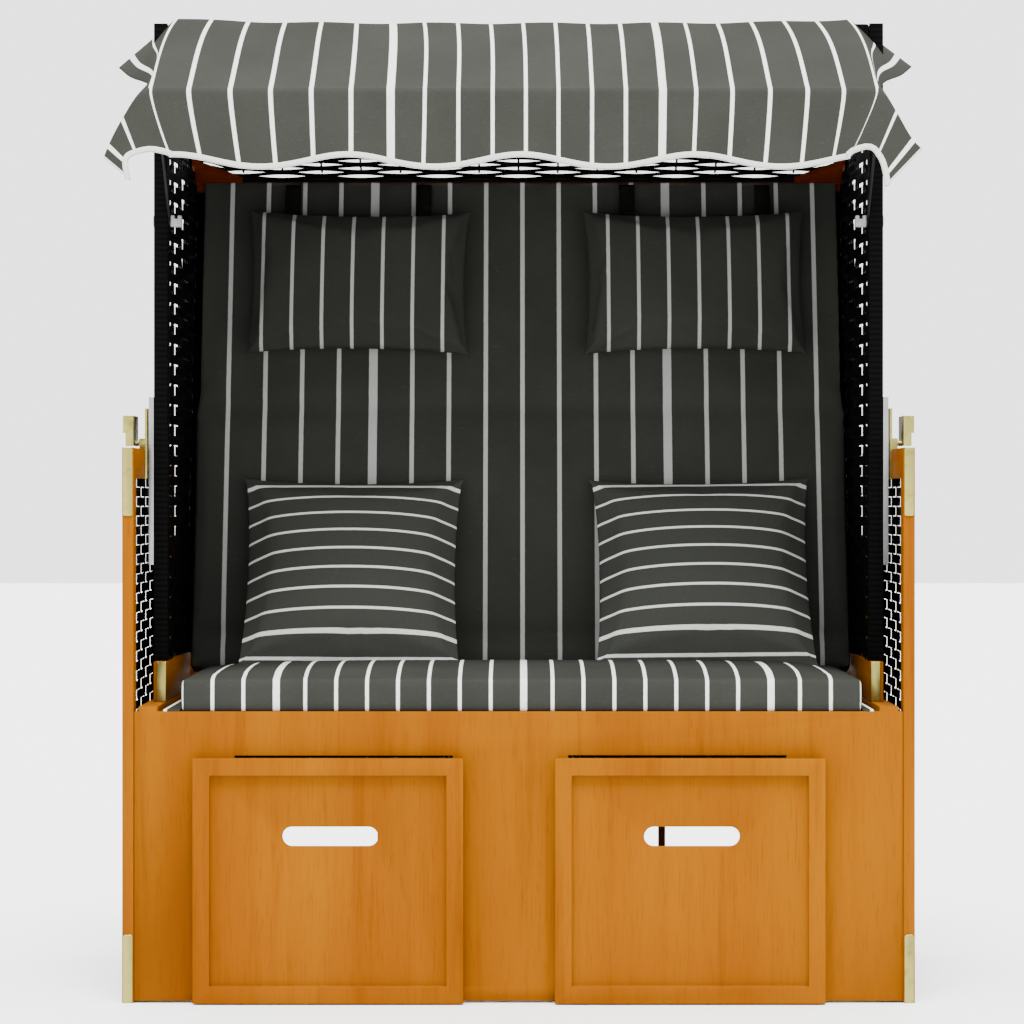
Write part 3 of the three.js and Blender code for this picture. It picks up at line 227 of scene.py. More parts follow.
# Wooden frame of the base: side frames, rear frame, front board, seat rails, deck, support and runners.
# Oiled hardwood, planed and slightly rounded on every edge. The grain runs the long way of each member.
WOOD_LIGHT = (0.186, 0.0590, 0.0)
WOOD_MIDDLE = (0.158, 0.0440, 0.0)
WOOD_DARK = (0.085, 0.017, 0.0)
WOOD_STRETCH = {"x": (0.05, 1, 1), "y": (1, 0.05, 1), "z": (1, 1, 0.05)}
# Heights and share of the painted shade that darkens upright wood towards the floor.
WOOD_LOW_SHADE_HEIGHTS = (0.42, 0.1)
WOOD_LOW_SHADE_SHARE = 0.22
WOOD_EDGE = 0.0012


def wood_finish(name, grain, rails=None, shade_tint=(1, 1, 1)):
    """Oiled wood: fine pores and wide figure, both stretched along the grain, and a few darker streaks.
    The rails are heights and depths between which the grain is as given. Past them it runs deep."""
    finish = Finish(name, 0.5, Specular_IOR_Level=0.02)
    # The tint darkens the wood where it stands for painted shade.
    light, middle, dark = (tuple(np.multiply(tone, shade_tint)) for tone in (WOOD_LIGHT, WOOD_MIDDLE, WOOD_DARK))
    where = finish.place(WOOD_STRETCH[grain])
    if rails:
        low, high, front, back = rails
        height, depth = finish.axis("Z"), finish.axis("Y")
        beyond = (height < low).maths("MAXIMUM", height > high)
        node = finish.tree.nodes.new("ShaderNodeMix")
        node.data_type = "VECTOR"
        finish.feed(node.inputs[0], beyond * (depth > front) * (depth < back))
        finish.feed(node.inputs[4], where)
        finish.feed(node.inputs[5], finish.place(WOOD_STRETCH["y"]))
        where = Signal(finish, node.outputs[1])
    figure = finish.noise(where, 9.0, 3.0, 0.5, 0.8)
    streak = finish.noise(where, 42.0, 5.0, 0.6, 0.3)
    pores = finish.noise(where, 420.0, 2.0, 0.7)
    cloud = finish.noise(finish.place(), 2.3, 2.0)
    colour = finish.blend(finish.ramp(figure * 0.6 + cloud * 0.4, (0.34, 0.64)), middle, light)
    colour = finish.blend(finish.ramp(streak, (0.5, 0.78)) * 0.42, colour, dark)
    colour = finish.blend(finish.ramp(pores, (0.5, 0.74)) * 0.3, colour, dark)
    # Painted shade: upright wood is darkened towards the floor, standing in for the shade low between posts
    # and panels.
    if grain == "z":
        low_shade = finish.ramp(finish.axis("Z") + cloud * 0.3, WOOD_LOW_SHADE_HEIGHTS)
        colour = finish.blend(low_shade * WOOD_LOW_SHADE_SHARE, colour, dark)
    finish.colour(colour)
    finish.roughness(0.38 + streak * 0.14)
    finish.relief(streak * 0.5 + pores * 0.5, 0.0006, 0.25)
    return finish


body_of = {node: body for body, nodes in frame["record"]["behaviour"]["bodies"].items() for node in nodes}


def soften(node, finish, edge, sides=2, height_share=1.0):
    """The node's own shape with its flat faces joined, and each sharp edge rounded to a small radius.
    A height share below 1 lowers each point towards the underside by that share."""
    mesh = frame["nodes"][node].data.copy()
    places = np.empty(len(mesh.vertices) * 3)
    mesh.vertices.foreach_get("co", places)
    places[2::3] = places[2::3].min() + (places[2::3] - places[2::3].min()) * height_share
    mesh.vertices.foreach_set("co", places)
    shape = bmesh.new()
    shape.from_mesh(mesh)
    bmesh.ops.remove_doubles(shape, verts=shape.verts, dist=0.00001)
    bmesh.ops.dissolve_limit(shape, angle_limit=math.radians(1), verts=shape.verts, edges=shape.edges)
    shape.to_mesh(mesh)
    shape.free()
    piece = show(f"{node}_finished", mesh, finish)
    rounding = piece.modifiers.new("rounded_edges", "BEVEL")
    rounding.width = edge
    rounding.segments = sides
    rounding.limit_method = "ANGLE"
    rounding.angle_limit = math.radians(30)
    rounding.harden_normals = True
    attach(piece, body_of[node])
    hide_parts(node)


side_low, side_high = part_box("left_side_wicker")
wood_upright = wood_finish("oiled_wood_upright", "z")
wood_sideways = wood_finish("oiled_wood_sideways", "x")
wood_deep = wood_finish("oiled_wood_deep", "y")
wood_sides = wood_finish("oiled_wood_side_frame", "z", (side_low.z, side_high.z, side_low.y, side_high.y))
for side in SIDES:
    soften(f"{side}_side_frame", wood_sides, WOOD_EDGE)
soften("front_board", wood_upright, WOOD_EDGE)
for name in ("rear_frame", "seat_deck", "rear_seat_support"):
    soften(name, wood_sideways, WOOD_EDGE)
for side in SIDES:
    for part in ("seat_rail", "outer_runner", "inner_runner"):
        soften(f"{side}_{part}", wood_deep, WOOD_EDGE)

# Footrests: a front panel with a sunk field and a finger hole, and the platform on its two rails.
# Oiled wood. The panel is glued up from upright boards, the platform slides on the runners.
for side in SIDES:
    soften(f"{side}_footrest_front", wood_upright, WOOD_EDGE)
    soften(f"{side}_footrest_platform", wood_deep, WOOD_EDGE)

# Wooden pieces of the hood: the bottom rails, the rear roof rail and the two corner braces.
# Oiled wood, screwed to the wrapped frame. The rail and the braces under the roof are tinted darker, as
# painted shade under the roof, and redder.
# Tints of painted shade for the wood under the roof: darker, and redder.
BRACE_SHADE_TINT = (0.30, 0.12, 0.2)
RAIL_SHADE_TINT = (0.30, 0.14, 0.2)
RAIL_HEIGHT_SHARE = 0.67
wood_brace = wood_finish("shaded_oiled_wood_brace", "x", shade_tint=BRACE_SHADE_TINT)
wood_rail = wood_finish("shaded_oiled_wood_rail", "x", shade_tint=RAIL_SHADE_TINT)
for side in SIDES:
    soften(f"{side}_hood_rail", wood_deep, WOOD_EDGE)
    soften(f"{side}_corner_brace", wood_brace, WOOD_EDGE)
soften("roof_rear_rail", wood_rail, WOOD_EDGE, height_share=RAIL_HEIGHT_SHARE)

# Brass plates and latches: thin corner plates, hood plates, latch brackets and the hook-shaped bolts.
# Pale brushed brass with a fine upright grain and a few dull spots.
BRASS_PALE = (0.29, 0.26, 0.075)
BRASS_DULL = (0.16, 0.14, 0.04)
BRASS_EDGE = 0.0005


def worn_finish(name, clean, worn, grain, patches, stops, share=1.0, stretch=(1, 1, 1), rough=None,
                relief=(0.0001, 0.3), base=(0.5,), **constants):
    """One colour with worn patches, under a fine grain that gives the relief. The grain also varies the
    roughness, where rough gives its least value and its span."""
    finish = Finish(name, *base, **constants)
    fine = finish.noise(finish.place(stretch), *grain)
    coarse = finish.noise(finish.place(), *patches)
    finish.colour(finish.blend(finish.ramp(coarse, stops) * share, clean, worn))
    if rough:
        finish.roughness(rough[0] + fine * rough[1])
    finish.relief(fine, *relief)
    return finish


brass = worn_finish("pale_brass", BRASS_PALE, BRASS_DULL, (900.0, 2.0), (60.0, 5.0), (0.52, 0.78), 0.7,
                    (1, 1, 0.06), (0.24, 0.16), base=(0.3, 1.0))
for side in SIDES:
    for part in ("top_corner_plate", "foot_corner_plate", "latch_bracket", "latch_bolt", "hood_plate"):
        soften(f"{side}_{part}", brass, BRASS_EDGE)

# Steel pieces: the adjuster bars with their row of holes, and the pivot bolts.
# Zinc-plated, with a soft brushed grain along the bar.
STEEL_BRIGHT = (0.30, 0.30, 0.295)
STEEL_DULL = (0.18, 0.18, 0.178)
STEEL_EDGE = 0.0006
steel = worn_finish("zinc_steel", STEEL_BRIGHT, STEEL_DULL, (700.0, 2.0), (35.0, 4.0), (0.4, 0.75), 0.6,
                    (1, 1, 0.08), (0.26, 0.2), base=(0.32, 1.0))
for part in ("adjuster_bar", "pivot_bolt"):
    for side in SIDES:
        soften(f"{side}_{part}", steel, STEEL_EDGE)

# Awning bow: a round bar on two flat arms that turn on the knobs.
# Black powder-coated steel, with an orange-peel surface that is worn at the touched places.
COAT_BLACK = (0.003, 0.003, 0.003)
COAT_WORN = (0.010, 0.010, 0.010)
powder_coat = worn_finish("black_powder_coat", COAT_BLACK, COAT_WORN, (800.0, 2.0), (45.0, 4.0), (0.5, 0.75),
                          rough=(0.4, 0.15), base=(0.45,), Specular_IOR_Level=0.1)
soften("awning_bow", powder_coat, STEEL_EDGE)

# Awning knobs: a small grip inside each front post, on a pin through the post.
# Moulded grey plastic with a fine satin texture.
PLASTIC_GREY = (0.22, 0.22, 0.21)
PLASTIC_WORN = (0.16, 0.16, 0.155)
KNOB_EDGE = 0.001
plastic = worn_finish("grey_plastic", PLASTIC_GREY, PLASTIC_WORN, (1400.0, 2.0), (90.0, 4.0), (0.45, 0.7),
                      relief=(0.0001, 0.4))
for side in SIDES:
    soften(f"{side}_awning_knob", plastic, KNOB_EDGE)

# Wrapped frame of the hood: side frames, front roof rail and back bottom rail.
# Metal tube wound round and round with flat black strand, each turn a little proud of the next.
STRAND_BLACK = (0.0012, 0.0012, 0.0012)
STRAND_WORN = (0.0028, 0.0028, 0.0028)
STRAND_SHEEN = 0.008
WINDING_PITCH = 0.0085
WINDING_EDGE = 0.004
WINDING_SIDES = 3


def strand_finish(name, along):
    """Black plastic strand: shallow ridges the long way, faint scuffs, a soft sheen."""
    return worn_finish(name, STRAND_BLACK, STRAND_WORN, (900.0, 2.0, 0.6), (30.0, 5.0), (0.5, 0.8),
                       stretch=along, rough=(0.42, 0.2), relief=(0.0003, 0.4), base=(0.6,),
                       Specular_IOR_Level=STRAND_SHEEN)


def wound_finish(name, along):
    """Strand wound round a bar: rounded turns side by side along one direction, with fine ridges."""
    finish = Finish(name, 0.6, Specular_IOR_Level=STRAND_SHEEN)
    turns = (finish.axis(along) / WINDING_PITCH).maths("PINGPONG", 0.5) * 2
    crown = turns.maths("POWER", 0.5)
    ridges = finish.noise(finish.place(), 600.0, 2.0)
    finish.colour(finish.blend(finish.ramp(crown, (0.2, 1.0)) * 0.8, STRAND_BLACK, STRAND_WORN))
    finish.roughness(0.4 + ridges * 0.2)
    finish.relief(crown * 0.85 + ridges * 0.15, 0.0006, 0.5)
    return finish


wound_upright = wound_finish("black_winding_upright", "Z")
wound_sideways = wound_finish("black_winding_sideways", "X")
for side in SIDES:
    soften(f"{side}_hood_frame", wound_upright, WINDING_EDGE, WINDING_SIDES)
for name in ("roof_front_rail", "back_bottom_rail"):
    soften(name, wound_sideways, WINDING_EDGE, WINDING_SIDES)

# Wicker of the hood sides: flat black strands woven about upright stakes, one row over, the next under.
# Each wall is one woven piece between the posts, the roof member and the bottom rail.
STAKE_RADIUS = 0.0022
HOOD_STAKE_PHASE = 0.1296
HOOD_ROW = 0.01566
HOOD_STAKE_PLANE = 0.540
HOOD_ROOF_SLOPE = math.radians(17.5)
BACK_LEAN = math.radians(16.4)
SECTION_SHARES = np.array([(-1, 0), (-0.8, 1), (0.8, 1), (1, 0), (0.8, -1), (-0.8, -1)])
SHORTEST_RUN = 0.01
# A weave: the spacing of its stakes, the width and thickness of its strand, the gap between two runs of a
# row, the length of a bridge over a stake, and how far outward the runs bow and the bridges arch: at the
# middle, and what the ends add or take away.
HOOD_WEAVE = {"spacing": 0.141, "strand": (0.0149, 0.0018), "gap": 0.034, "bridge": 0.052,
              "bow": (-0.009, 0.006), "arch": (0.0034, 0.0020)}


def tube_faces(count, rings, sides):
    """Faces of several tubes with closed ends, whose points are laid out ring by ring."""
    base = (np.arange(count) * rings * sides)[:, None, None]
    walls = (sheet_faces(rings, sides, closed=True)[None] + base).reshape(-1, 4)
    cap = np.arange(sides)[None, None] + base
    caps = np.concatenate([cap, cap + (rings - 1) * sides]).reshape(-1, sides)
    return [*walls.tolist(), *caps.tolist()]


def strands(along, across, out, size, origin, ways):
    """Flat strands with chamfered edges. Each strand is a run of rings: a ring lies at its place along,
    across and out of the wall, and carries the six-sided section. The ends are closed."""
    section = SECTION_SHARES * np.array(size) / 2
    along, across, out = (np.asarray(values)[:, :, None] for values in (along, across, out))
    flat = [along + 0 * section[:, 0], across + section[:, 0], out + section[:, 1]]
    points = np.asarray(origin) + sum(part[..., None] * np.asarray(way) for part, way in zip(flat, ways))
    return points.reshape(-1, 3), tube_faces(*along.shape[:2], len(section))


def woven(node, body, finish, shapes):
    """Several sets of points and faces as one woven piece, which stands for a node."""
    points, faces, start = [], [], 0
    for some_points, some_faces in shapes:
        points.append(some_points)
        faces.extend([[index + start for index in face] for face in some_faces])
        start += len(some_points)
    name = node.replace("wicker", "weave") if node.startswith(SIDES) else f"{node}_weave"
    piece = make(name, np.concatenate(points), faces, finish, body, "wicker", smooth=False)
    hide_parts(node)


def rods(starts, ends, radius, sides=6):
    """Round rods between pairs of points, each with a closed end."""
    starts, ends = np.asarray(starts, float), np.asarray(ends, float)
    direction = ends - starts
    direction /= np.linalg.norm(direction, axis=1, keepdims=True)
    helper = np.where(np.abs(direction[:, :1]) > 0.9, (0.0, 1.0, 0.0), (1.0, 0.0, 0.0))
    one = np.cross(direction, helper)
    one /= np.linalg.norm(one, axis=1, keepdims=True)
    two = np.cross(direction, one)
    turn = np.linspace(0, 2 * np.pi, sides, endpoint=False)
    ring = radius * (one[:, None] * np.cos(turn)[:, None] + two[:, None] * np.sin(turn)[:, None])
    points = np.stack([starts[:, None] + ring, ends[:, None] + ring], axis=1)
    return points.reshape(-1, 3), tube_faces(len(starts), 2, sides)


def laced_runs(rows, stakes, limits, length, odd, steps=6):
    """Runs of strand centred on every other stake, shifted by one stake from row to row, cut to the wall.
    Gives the places along, the row numbers and the centres of the runs that remain."""
    row, stake = np.meshgrid(np.arange(len(rows)), np.arange(len(stakes)), indexing="ij")
    chosen = ((row + stake) % 2) == odd
    row, centre = row[chosen], np.asarray(stakes)[stake[chosen]]
    low, high = limits(np.asarray(rows)[row])
    start, end = np.maximum(centre - length / 2, low), np.minimum(centre + length / 2, high)
    keep = end - start > SHORTEST_RUN
    row, centre, start, end = row[keep], centre[keep], start[keep], end[keep]
    share = np.linspace(0, 1, steps + 1)
    return start[:, None] + (end - start)[:, None] * share, row, centre[:, None]


def lace(side, middle, rows, stakes, limits, weave):
    """The strands of a wall: long runs inside the stakes, and short bridges that cross them outside."""
    half = weave["spacing"] - weave["gap"] / 2
    run, run_row, centre = laced_runs(rows, stakes, limits, 2 * half, 0)
    low, rise = weave["bow"]
    bow = low + rise * np.sin(np.pi / 2 * np.clip(np.abs(run - centre) / half, 0, 1)) ** 2
    bridge, bridge_row, centre = laced_runs(rows, stakes, limits, weave["bridge"], 1, 4)
    high, fall = weave["arch"]
    arch = high - fall * (np.abs(bridge - centre) / (weave["bridge"] / 2)) ** 2
    ways = ((0, 1, 0), (0, 0, 1), (-1 if side == "left" else 1, 0, 0))
    return [strands(along, np.broadcast_to(rows[row][:, None], along.shape), out, weave["strand"],
                    (middle, 0, 0), ways)
            for along, row, out in ((run, run_row, bow), (bridge, bridge_row, arch))]


def upright_stakes(middle, places, foot, top, radius):
    """The stakes of a wall, from foot to top."""
    across, foot, top = (np.broadcast_to(value, places.shape) for value in (middle, foot, top))
    return rods(np.stack([across, places, foot], 1), np.stack([across, places, top], 1), radius)


def hood_wall(side):
    """Weaves a side wall, cut to the slope of the roof and the lean of the back."""
    low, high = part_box(f"{side}_hood_wicker")
    rows = np.arange(low.z + HOOD_ROW / 2, high.z, HOOD_ROW)
    stakes = low.y + HOOD_STAKE_PHASE + HOOD_WEAVE["spacing"] * np.arange(-1, 5)
    corner = high.z - (high.y - low.y) * math.tan(HOOD_ROOF_SLOPE)

    def limits(z):
        rear = np.minimum(high.y - (corner - z) * math.tan(BACK_LEAN),
                          low.y + (high.z - z) / math.tan(HOOD_ROOF_SLOPE))
        return low.y, rear

    middle = -HOOD_STAKE_PLANE if side == "left" else HOOD_STAKE_PLANE
    inside = stakes[(stakes > low.y) & (stakes < high.y)]
    foot = np.maximum(low.z, corner - (high.y - inside) / math.tan(BACK_LEAN))
    top = high.z - (inside - low.y) * math.tan(HOOD_ROOF_SLOPE)
    woven(f"{side}_hood_wicker", "hood", strand_deep,
          [*lace(side, middle, rows, stakes, limits, HOOD_WEAVE),
           upright_stakes(middle, inside, foot, top, STAKE_RADIUS)])


strand_deep = strand_finish("black_strand_deep", (1, 0.05, 1))
strand_sideways = strand_finish("black_strand_sideways", (0.05, 1, 1))
for side in SIDES:
    hood_wall(side)

# Wicker of the base sides: the same weave with closer stakes, set between the rails of the side frames.
# Flat black strand, a little narrower than on the hood, and drawn tighter.
BASE_STAKE_PHASE = 0.036
BASE_STAKE_RADIUS = 0.0012
BASE_ROW = 0.01462
BASE_WEAVE = {"spacing": 0.073, "strand": (0.0137, 0.0012), "gap": 0.026, "bridge": 0.038,
              "bow": (-0.0028, 0.0018), "arch": (0.0028, 0.0012)}
for side in SIDES:
    low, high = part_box(f"{side}_side_wicker")
    rows = np.arange(low.z + BASE_ROW / 2, high.z, BASE_ROW)
    stakes = np.arange(low.y + BASE_STAKE_PHASE, high.y, BASE_WEAVE["spacing"])
    middle = (low.x + high.x) / 2
    woven(f"{side}_side_wicker", "base", strand_deep,
          [*lace(side, middle, rows, stakes, lambda z: (low.y, high.y), BASE_WEAVE),
           upright_stakes(middle, stakes, low.z, high.z, BASE_STAKE_RADIUS)])

# Wicker of the roof, the back and the rear of the base: long strands that wave over and under the stakes.
# Neighbouring rows wave the other way, which leaves a row of lens-shaped slits between them.
CROSS_STAKE_SPACING = 0.065
CROSS_ROW = 0.0135
CROSS_STRAND = (0.0130, 0.0016)
CROSS_WAVE = 0.0019
CROSS_LIFT = 0.0013
CROSS_STAKE_RADIUS = 0.0019
CROSS_STEPS = 6
PANEL_HALF = 0.004
ROOF_SAG = 0.0140
SAG_REACH = 0.12
SAG_SIDE = 0.05
ROOF_BORDER_RADIUS = 0.0024
ROOF_BORDER_HEIGHT = 1.2729
ROOF_BORDER_INSET = 0.06
EDGE_ROLL_RADIUS = 0.0072
EDGE_ROLL_LIFT = 0.013
EDGE_ROLL_FOOT = 0.030
EDGE_ROLL_TOP = 0.072
ROLL_SIDES = 12


def waved_panel(name, body, corner_low, corner_high, sag=0.0):
    """A panel between two straight edges that run sideways. Row i lies at i rows up the panel, and its
    centre line is a cosine of the place sideways, in the panel and out of it, with the sign of the row.
    A sag is full along the first edge, and fades up the panel and towards its two sides."""
    corner_low, corner_high = Vector(corner_low), Vector(corner_high)
    width = corner_high.x - corner_low.x
    rise = Vector((0, corner_high.y - corner_low.y, corner_high.z - corner_low.z))
    up = rise.normalized()
    out = Vector((1, 0, 0)).cross(up)
    count = int(rise.length / CROSS_ROW)
    steps = int(width / CROSS_STAKE_SPACING) * CROSS_STEPS
    along = np.broadcast_to(np.linspace(0, width, steps + 1), (count, steps + 1))
    row = (np.arange(count) + 0.5)[:, None] * (rise.length / count)
    sign = np.where(np.arange(count) % 2 == 0, 1.0, -1.0)[:, None]
    wave = np.cos(np.pi * (along - width / 2) / CROSS_STAKE_SPACING)
    inner = np.clip(np.minimum(along, width - along) / SAG_SIDE, 0, 1) ** 2
    dip = sag * np.exp(-row / SAG_REACH) * inner
    rows = strands(along, row - sign * CROSS_WAVE * wave, sign * CROSS_LIFT * wave + dip, CROSS_STRAND,
                   corner_low, ((1, 0, 0), up, out))
    stakes = corner_low.x + np.arange(width / 2 % CROSS_STAKE_SPACING, width, CROSS_STAKE_SPACING)
    foot = np.stack([stakes, np.full_like(stakes, corner_low.y), np.full_like(stakes, corner_low.z)], 1)
    woven(name, body, strand_sideways, [rows, rods(foot, foot + np.array(rise), CROSS_STAKE_RADIUS)])


roof_low, roof_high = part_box("roof_wicker")
half_roof = PANEL_HALF / math.cos(HOOD_ROOF_SLOPE)
waved_panel("roof_wicker", "hood", (roof_low.x, roof_high.y, roof_low.z + half_roof),
            (roof_high.x, roof_low.y, roof_high.z - half_roof), ROOF_SAG)
border_ends = [(x, roof_high.y, ROOF_BORDER_HEIGHT)
               for x in (roof_low.x + ROOF_BORDER_INSET, roof_high.x - ROOF_BORDER_INSET)]
make("roof_rear_border", *rods(border_ends[:1], border_ends[1:], ROOF_BORDER_RADIUS, ROLL_SIDES),
     strand_deep, "hood", "wicker")
back_low, back_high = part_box("back_wicker")
half_back = PANEL_HALF / math.cos(BACK_LEAN)
roll_ends = [(x, back_low.y - EDGE_ROLL_LIFT + (z - back_low.z) * math.tan(BACK_LEAN), z)
             for z in (back_low.z - EDGE_ROLL_FOOT, back_high.z + EDGE_ROLL_TOP)
             for x in (back_low.x + EDGE_ROLL_RADIUS, back_high.x - EDGE_ROLL_RADIUS)]
make("back_edge_rolls", *rods(roll_ends[:2], roll_ends[2:], EDGE_ROLL_RADIUS, ROLL_SIDES),
     strand_deep, "hood", "wicker")
waved_panel("back_wicker", "hood", (back_low.x, back_low.y + half_back, back_low.z),
            (back_high.x, back_high.y - half_back, back_high.z))
rear_low, rear_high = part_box("rear_wicker")
rear_middle = (rear_low.y + rear_high.y) / 2
waved_panel("rear_wicker", "base", (rear_low.x, rear_middle, rear_low.z),
            (rear_high.x, rear_middle, rear_high.z))

# Awning cloth: one striped sheet from the front edge of the roof over the bar of the bow, with a scalloped
# front hem. Its sides hang free and flare at the corners. The hem is bound with white tape.
CLOTH_GREY = (0.0185, 0.0195, 0.0165)
CLOTH_WORN = (0.023, 0.024, 0.0205)
CLOTH_SHADE = (0.008, 0.0085, 0.007)
CLOTH_SLUB = (0.045, 0.045, 0.042)
CLOTH_SOIL = 0.7
AWNING_GREY = (0.0225, 0.0240, 0.0200)
AWNING_WORN = (0.0265, 0.0280, 0.0240)
STRIPE_WHITE = (0.56, 0.57, 0.54)
STRIPE_REPEAT = 8
STRIPE_WAVER = 0.012
STRIPE_FIBRE = 0.0006
AWNING_STRIPE_PITCH = 0.0505
AWNING_THIN = 0.0056
AWNING_WIDE = 0.0108
AWNING_FIRST_WIDE = 6
AWNING_EDGES = (-2.6, 22.6)
LAST_STRIPE = 20
STRIPES_AT_ROOF = [
    -0.5200, -0.4656, -0.4103, -0.3544, -0.2991, -0.2458, -0.1905, -0.1429, -0.0921, -0.0422, 0.0068,
    0.0558, 0.1050, 0.1539, 0.2063, 0.2523, 0.3023, 0.3526, 0.4024, 0.4524, 0.5018]
STRIPES_AT_FOLD = [
    -0.5399, -0.4828, -0.4222, -0.3631, -0.3035, -0.2453, -0.1871, -0.1371, -0.0880, -0.0378, 0.0108,
    0.0586, 0.1077, 0.1572, 0.2115, 0.2601, 0.3134, 0.3687, 0.4234, 0.4764, 0.5261]
STRIPES_AT_HEM = [
    -0.5095, -0.4650, -0.4079, -0.3547, -0.2999, -0.2447, -0.1866, -0.1391, -0.0882, -0.0377, 0.0108,
    0.0585, 0.1075, 0.1568, 0.2102, 0.2561, 0.3083, 0.3604, 0.4134, 0.4600, 0.4840]
ROOF_EDGE = (-0.1866, 1.4665)
BAR_RADIUS = 0.004
FOLD_RADIUS = 0.009
SLOPE_WIDENING = 0.24
SLOPE_SAG = (0.006, 0.37)
SLOPE_RIPPLE = (0.0012, 0.17)
SIDE_LIFT = (0.007, 0.52)
SIDE_BULGE = 0.004
VALANCE_LENGTH = 0.103
VALANCE_NARROWING = 1.25
VALANCE_BELLY = (0.006, 0.005)
SCALLOP_PITCH = 0.254
SCALLOP_CENTRE = 0.131
SCALLOP_DEPTH = 0.009
CORNER_REACH = 0.3
CORNER_FOLD_SHARE = 0.1
CORNER_SEAM_SLOPE = 6
CLOTH_THICKNESS = 0.0012
# The free edge of each side, from the roof to the fold. Then, for each stripe past the outermost one on
# the front, where it crosses the ridge from the fold down to the side, and where it meets the front hem.
SIDE_EDGE_SHARES = np.array([0.0, 0.1, 0.22, 0.4, 0.6, 0.8, 1.0])
SIDE_EDGES = {
    "left": [
        (-0.614, -0.118, 1.4065), (-0.592, -0.165, 1.387), (-0.558, -0.214, 1.370), (-0.549, -0.262, 1.332),
        (-0.550, -0.308, 1.296), (-0.566, -0.355, 1.266), (-0.6065, -0.409, 1.2425)],
    "right": [
        (0.604, -0.118, 1.408), (0.584, -0.165, 1.390), (0.552, -0.214, 1.373), (0.540, -0.262, 1.334),
        (0.538, -0.308, 1.300), (0.552, -0.355, 1.272), (0.590, -0.412, 1.255)]}
CORNER_STRIPES = np.array([0.0, 0.45, 1.0, 2.0, 2.6])
CORNER_RIDGES = {
    "left": [
        (-0.5399, -0.404, 1.347), (-0.559, -0.406, 1.333), (-0.580, -0.407, 1.300), (-0.600, -0.409, 1.260),
        (-0.6065, -0.409, 1.2425)],
    "right": [
        (0.5261, -0.404, 1.347), (0.5392, -0.406, 1.3325), (0.5531, -0.407, 1.310), (0.5773, -0.410, 1.268),
        (0.590, -0.412, 1.255)]}
CORNER_HEMS = {
    "left": [
        (-0.5095, -0.409, 1.2515), (-0.537, -0.412, 1.252), (-0.5585, -0.414, 1.2475),
        (-0.5705, -0.420, 1.233), (-0.566, -0.424, 1.2085)],
    "right": [
        (0.484, -0.409, 1.262), (0.512, -0.412, 1.256), (0.5242, -0.414, 1.2446), (0.5337, -0.420, 1.214),
        (0.535, -0.424, 1.198)]}


def cloth_finish(name, pitch, thin, wide, first_wide, shift=0.0, grey=CLOTH_GREY, white=STRIPE_WHITE,
                 worn=CLOTH_WORN):
    """Woven cloth with white stripes. A point's stripe value counts the stripes: a whole number is the
    middle of one, and every eighth is wide. The weave is two fine crossed noises, with slubs and fading."""
    finish = Finish(name, 0.85, Specular_IOR_Level=0.05)
    place = finish.add("ShaderNodeAttribute", {"attribute_name": "stripe"}, out="Fac")
    index = (place + 0.5).maths("FLOOR")
    is_wide = ((index - first_wide + 0.5).maths("FLOORED_MODULO", STRIPE_REPEAT)) < 1.0
    wavering = finish.noise(finish.place(), 130.0, 3.0) - 0.5
    distance = (place - index - is_wide * shift + wavering * STRIPE_WAVER).maths("ABSOLUTE")
    half = is_wide * ((wide - thin) / 2 / pitch) + thin / 2 / pitch
    stripe = finish.ramp((half - distance) / (STRIPE_FIBRE / pitch), (-1, 1))
    warp = finish.noise(finish.place((1, 1, 0.12)), 1500.0, 2.0)
    weft = finish.noise(finish.place((0.12, 0.5, 1)), 1500.0, 2.0)
    slubs = finish.noise(finish.place((0.3, 1, 1)), 240.0, 3.0)
    faded = finish.noise(finish.place(), 7.0, 4.0)
    weave = finish.ramp(warp * 0.5 + weft * 0.5, (0.42, 0.6))
    cloth = finish.blend(finish.ramp(faded, (0.3, 0.75)), grey, worn)
    cloth = finish.blend(weave * 0.22, cloth, CLOTH_SHADE)
    cloth = finish.blend(finish.ramp(slubs, (0.62, 0.75)) * 0.25, cloth, CLOTH_SLUB)
    thread = finish.blend(weave * 0.2, white, tuple(CLOTH_SOIL * part for part in white))
    finish.colour(finish.blend(stripe, cloth, thread))
    finish.roughness(0.8 + slubs * 0.15)
    finish.relief(warp * 0.4 + weft * 0.4 + slubs * 0.2, 0.0004, 0.35)
    return finish


def smooth_table(places, shares, values):
    """A smooth curve through table values: cubic pieces whose slopes are those of the neighbours."""
    values = np.asarray(values, float).reshape(len(shares), -1)
    slope = np.gradient(values, shares, axis=0)
    spot = np.clip(np.searchsorted(shares, places, side="right") - 1, 0, len(shares) - 2)
    step = shares[spot + 1] - shares[spot]
    t = ((places - shares[spot]) / step)[:, None]
    step = step[:, None]
    return ((2 * t**3 - 3 * t**2 + 1) * values[spot] + (t**3 - 2 * t**2 + t) * step * slope[spot]
            + (3 * t**2 - 2 * t**3) * values[spot + 1] + (t**3 - t**2) * step * slope[spot + 1])


bar_low, bar_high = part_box("awning_bow")
BAR_CENTRE = (bar_low.y + BAR_RADIUS, bar_high.z - BAR_RADIUS)
slope_run = (BAR_CENTRE[0] - ROOF_EDGE[0], BAR_CENTRE[1] + FOLD_RADIUS - ROOF_EDGE[1])


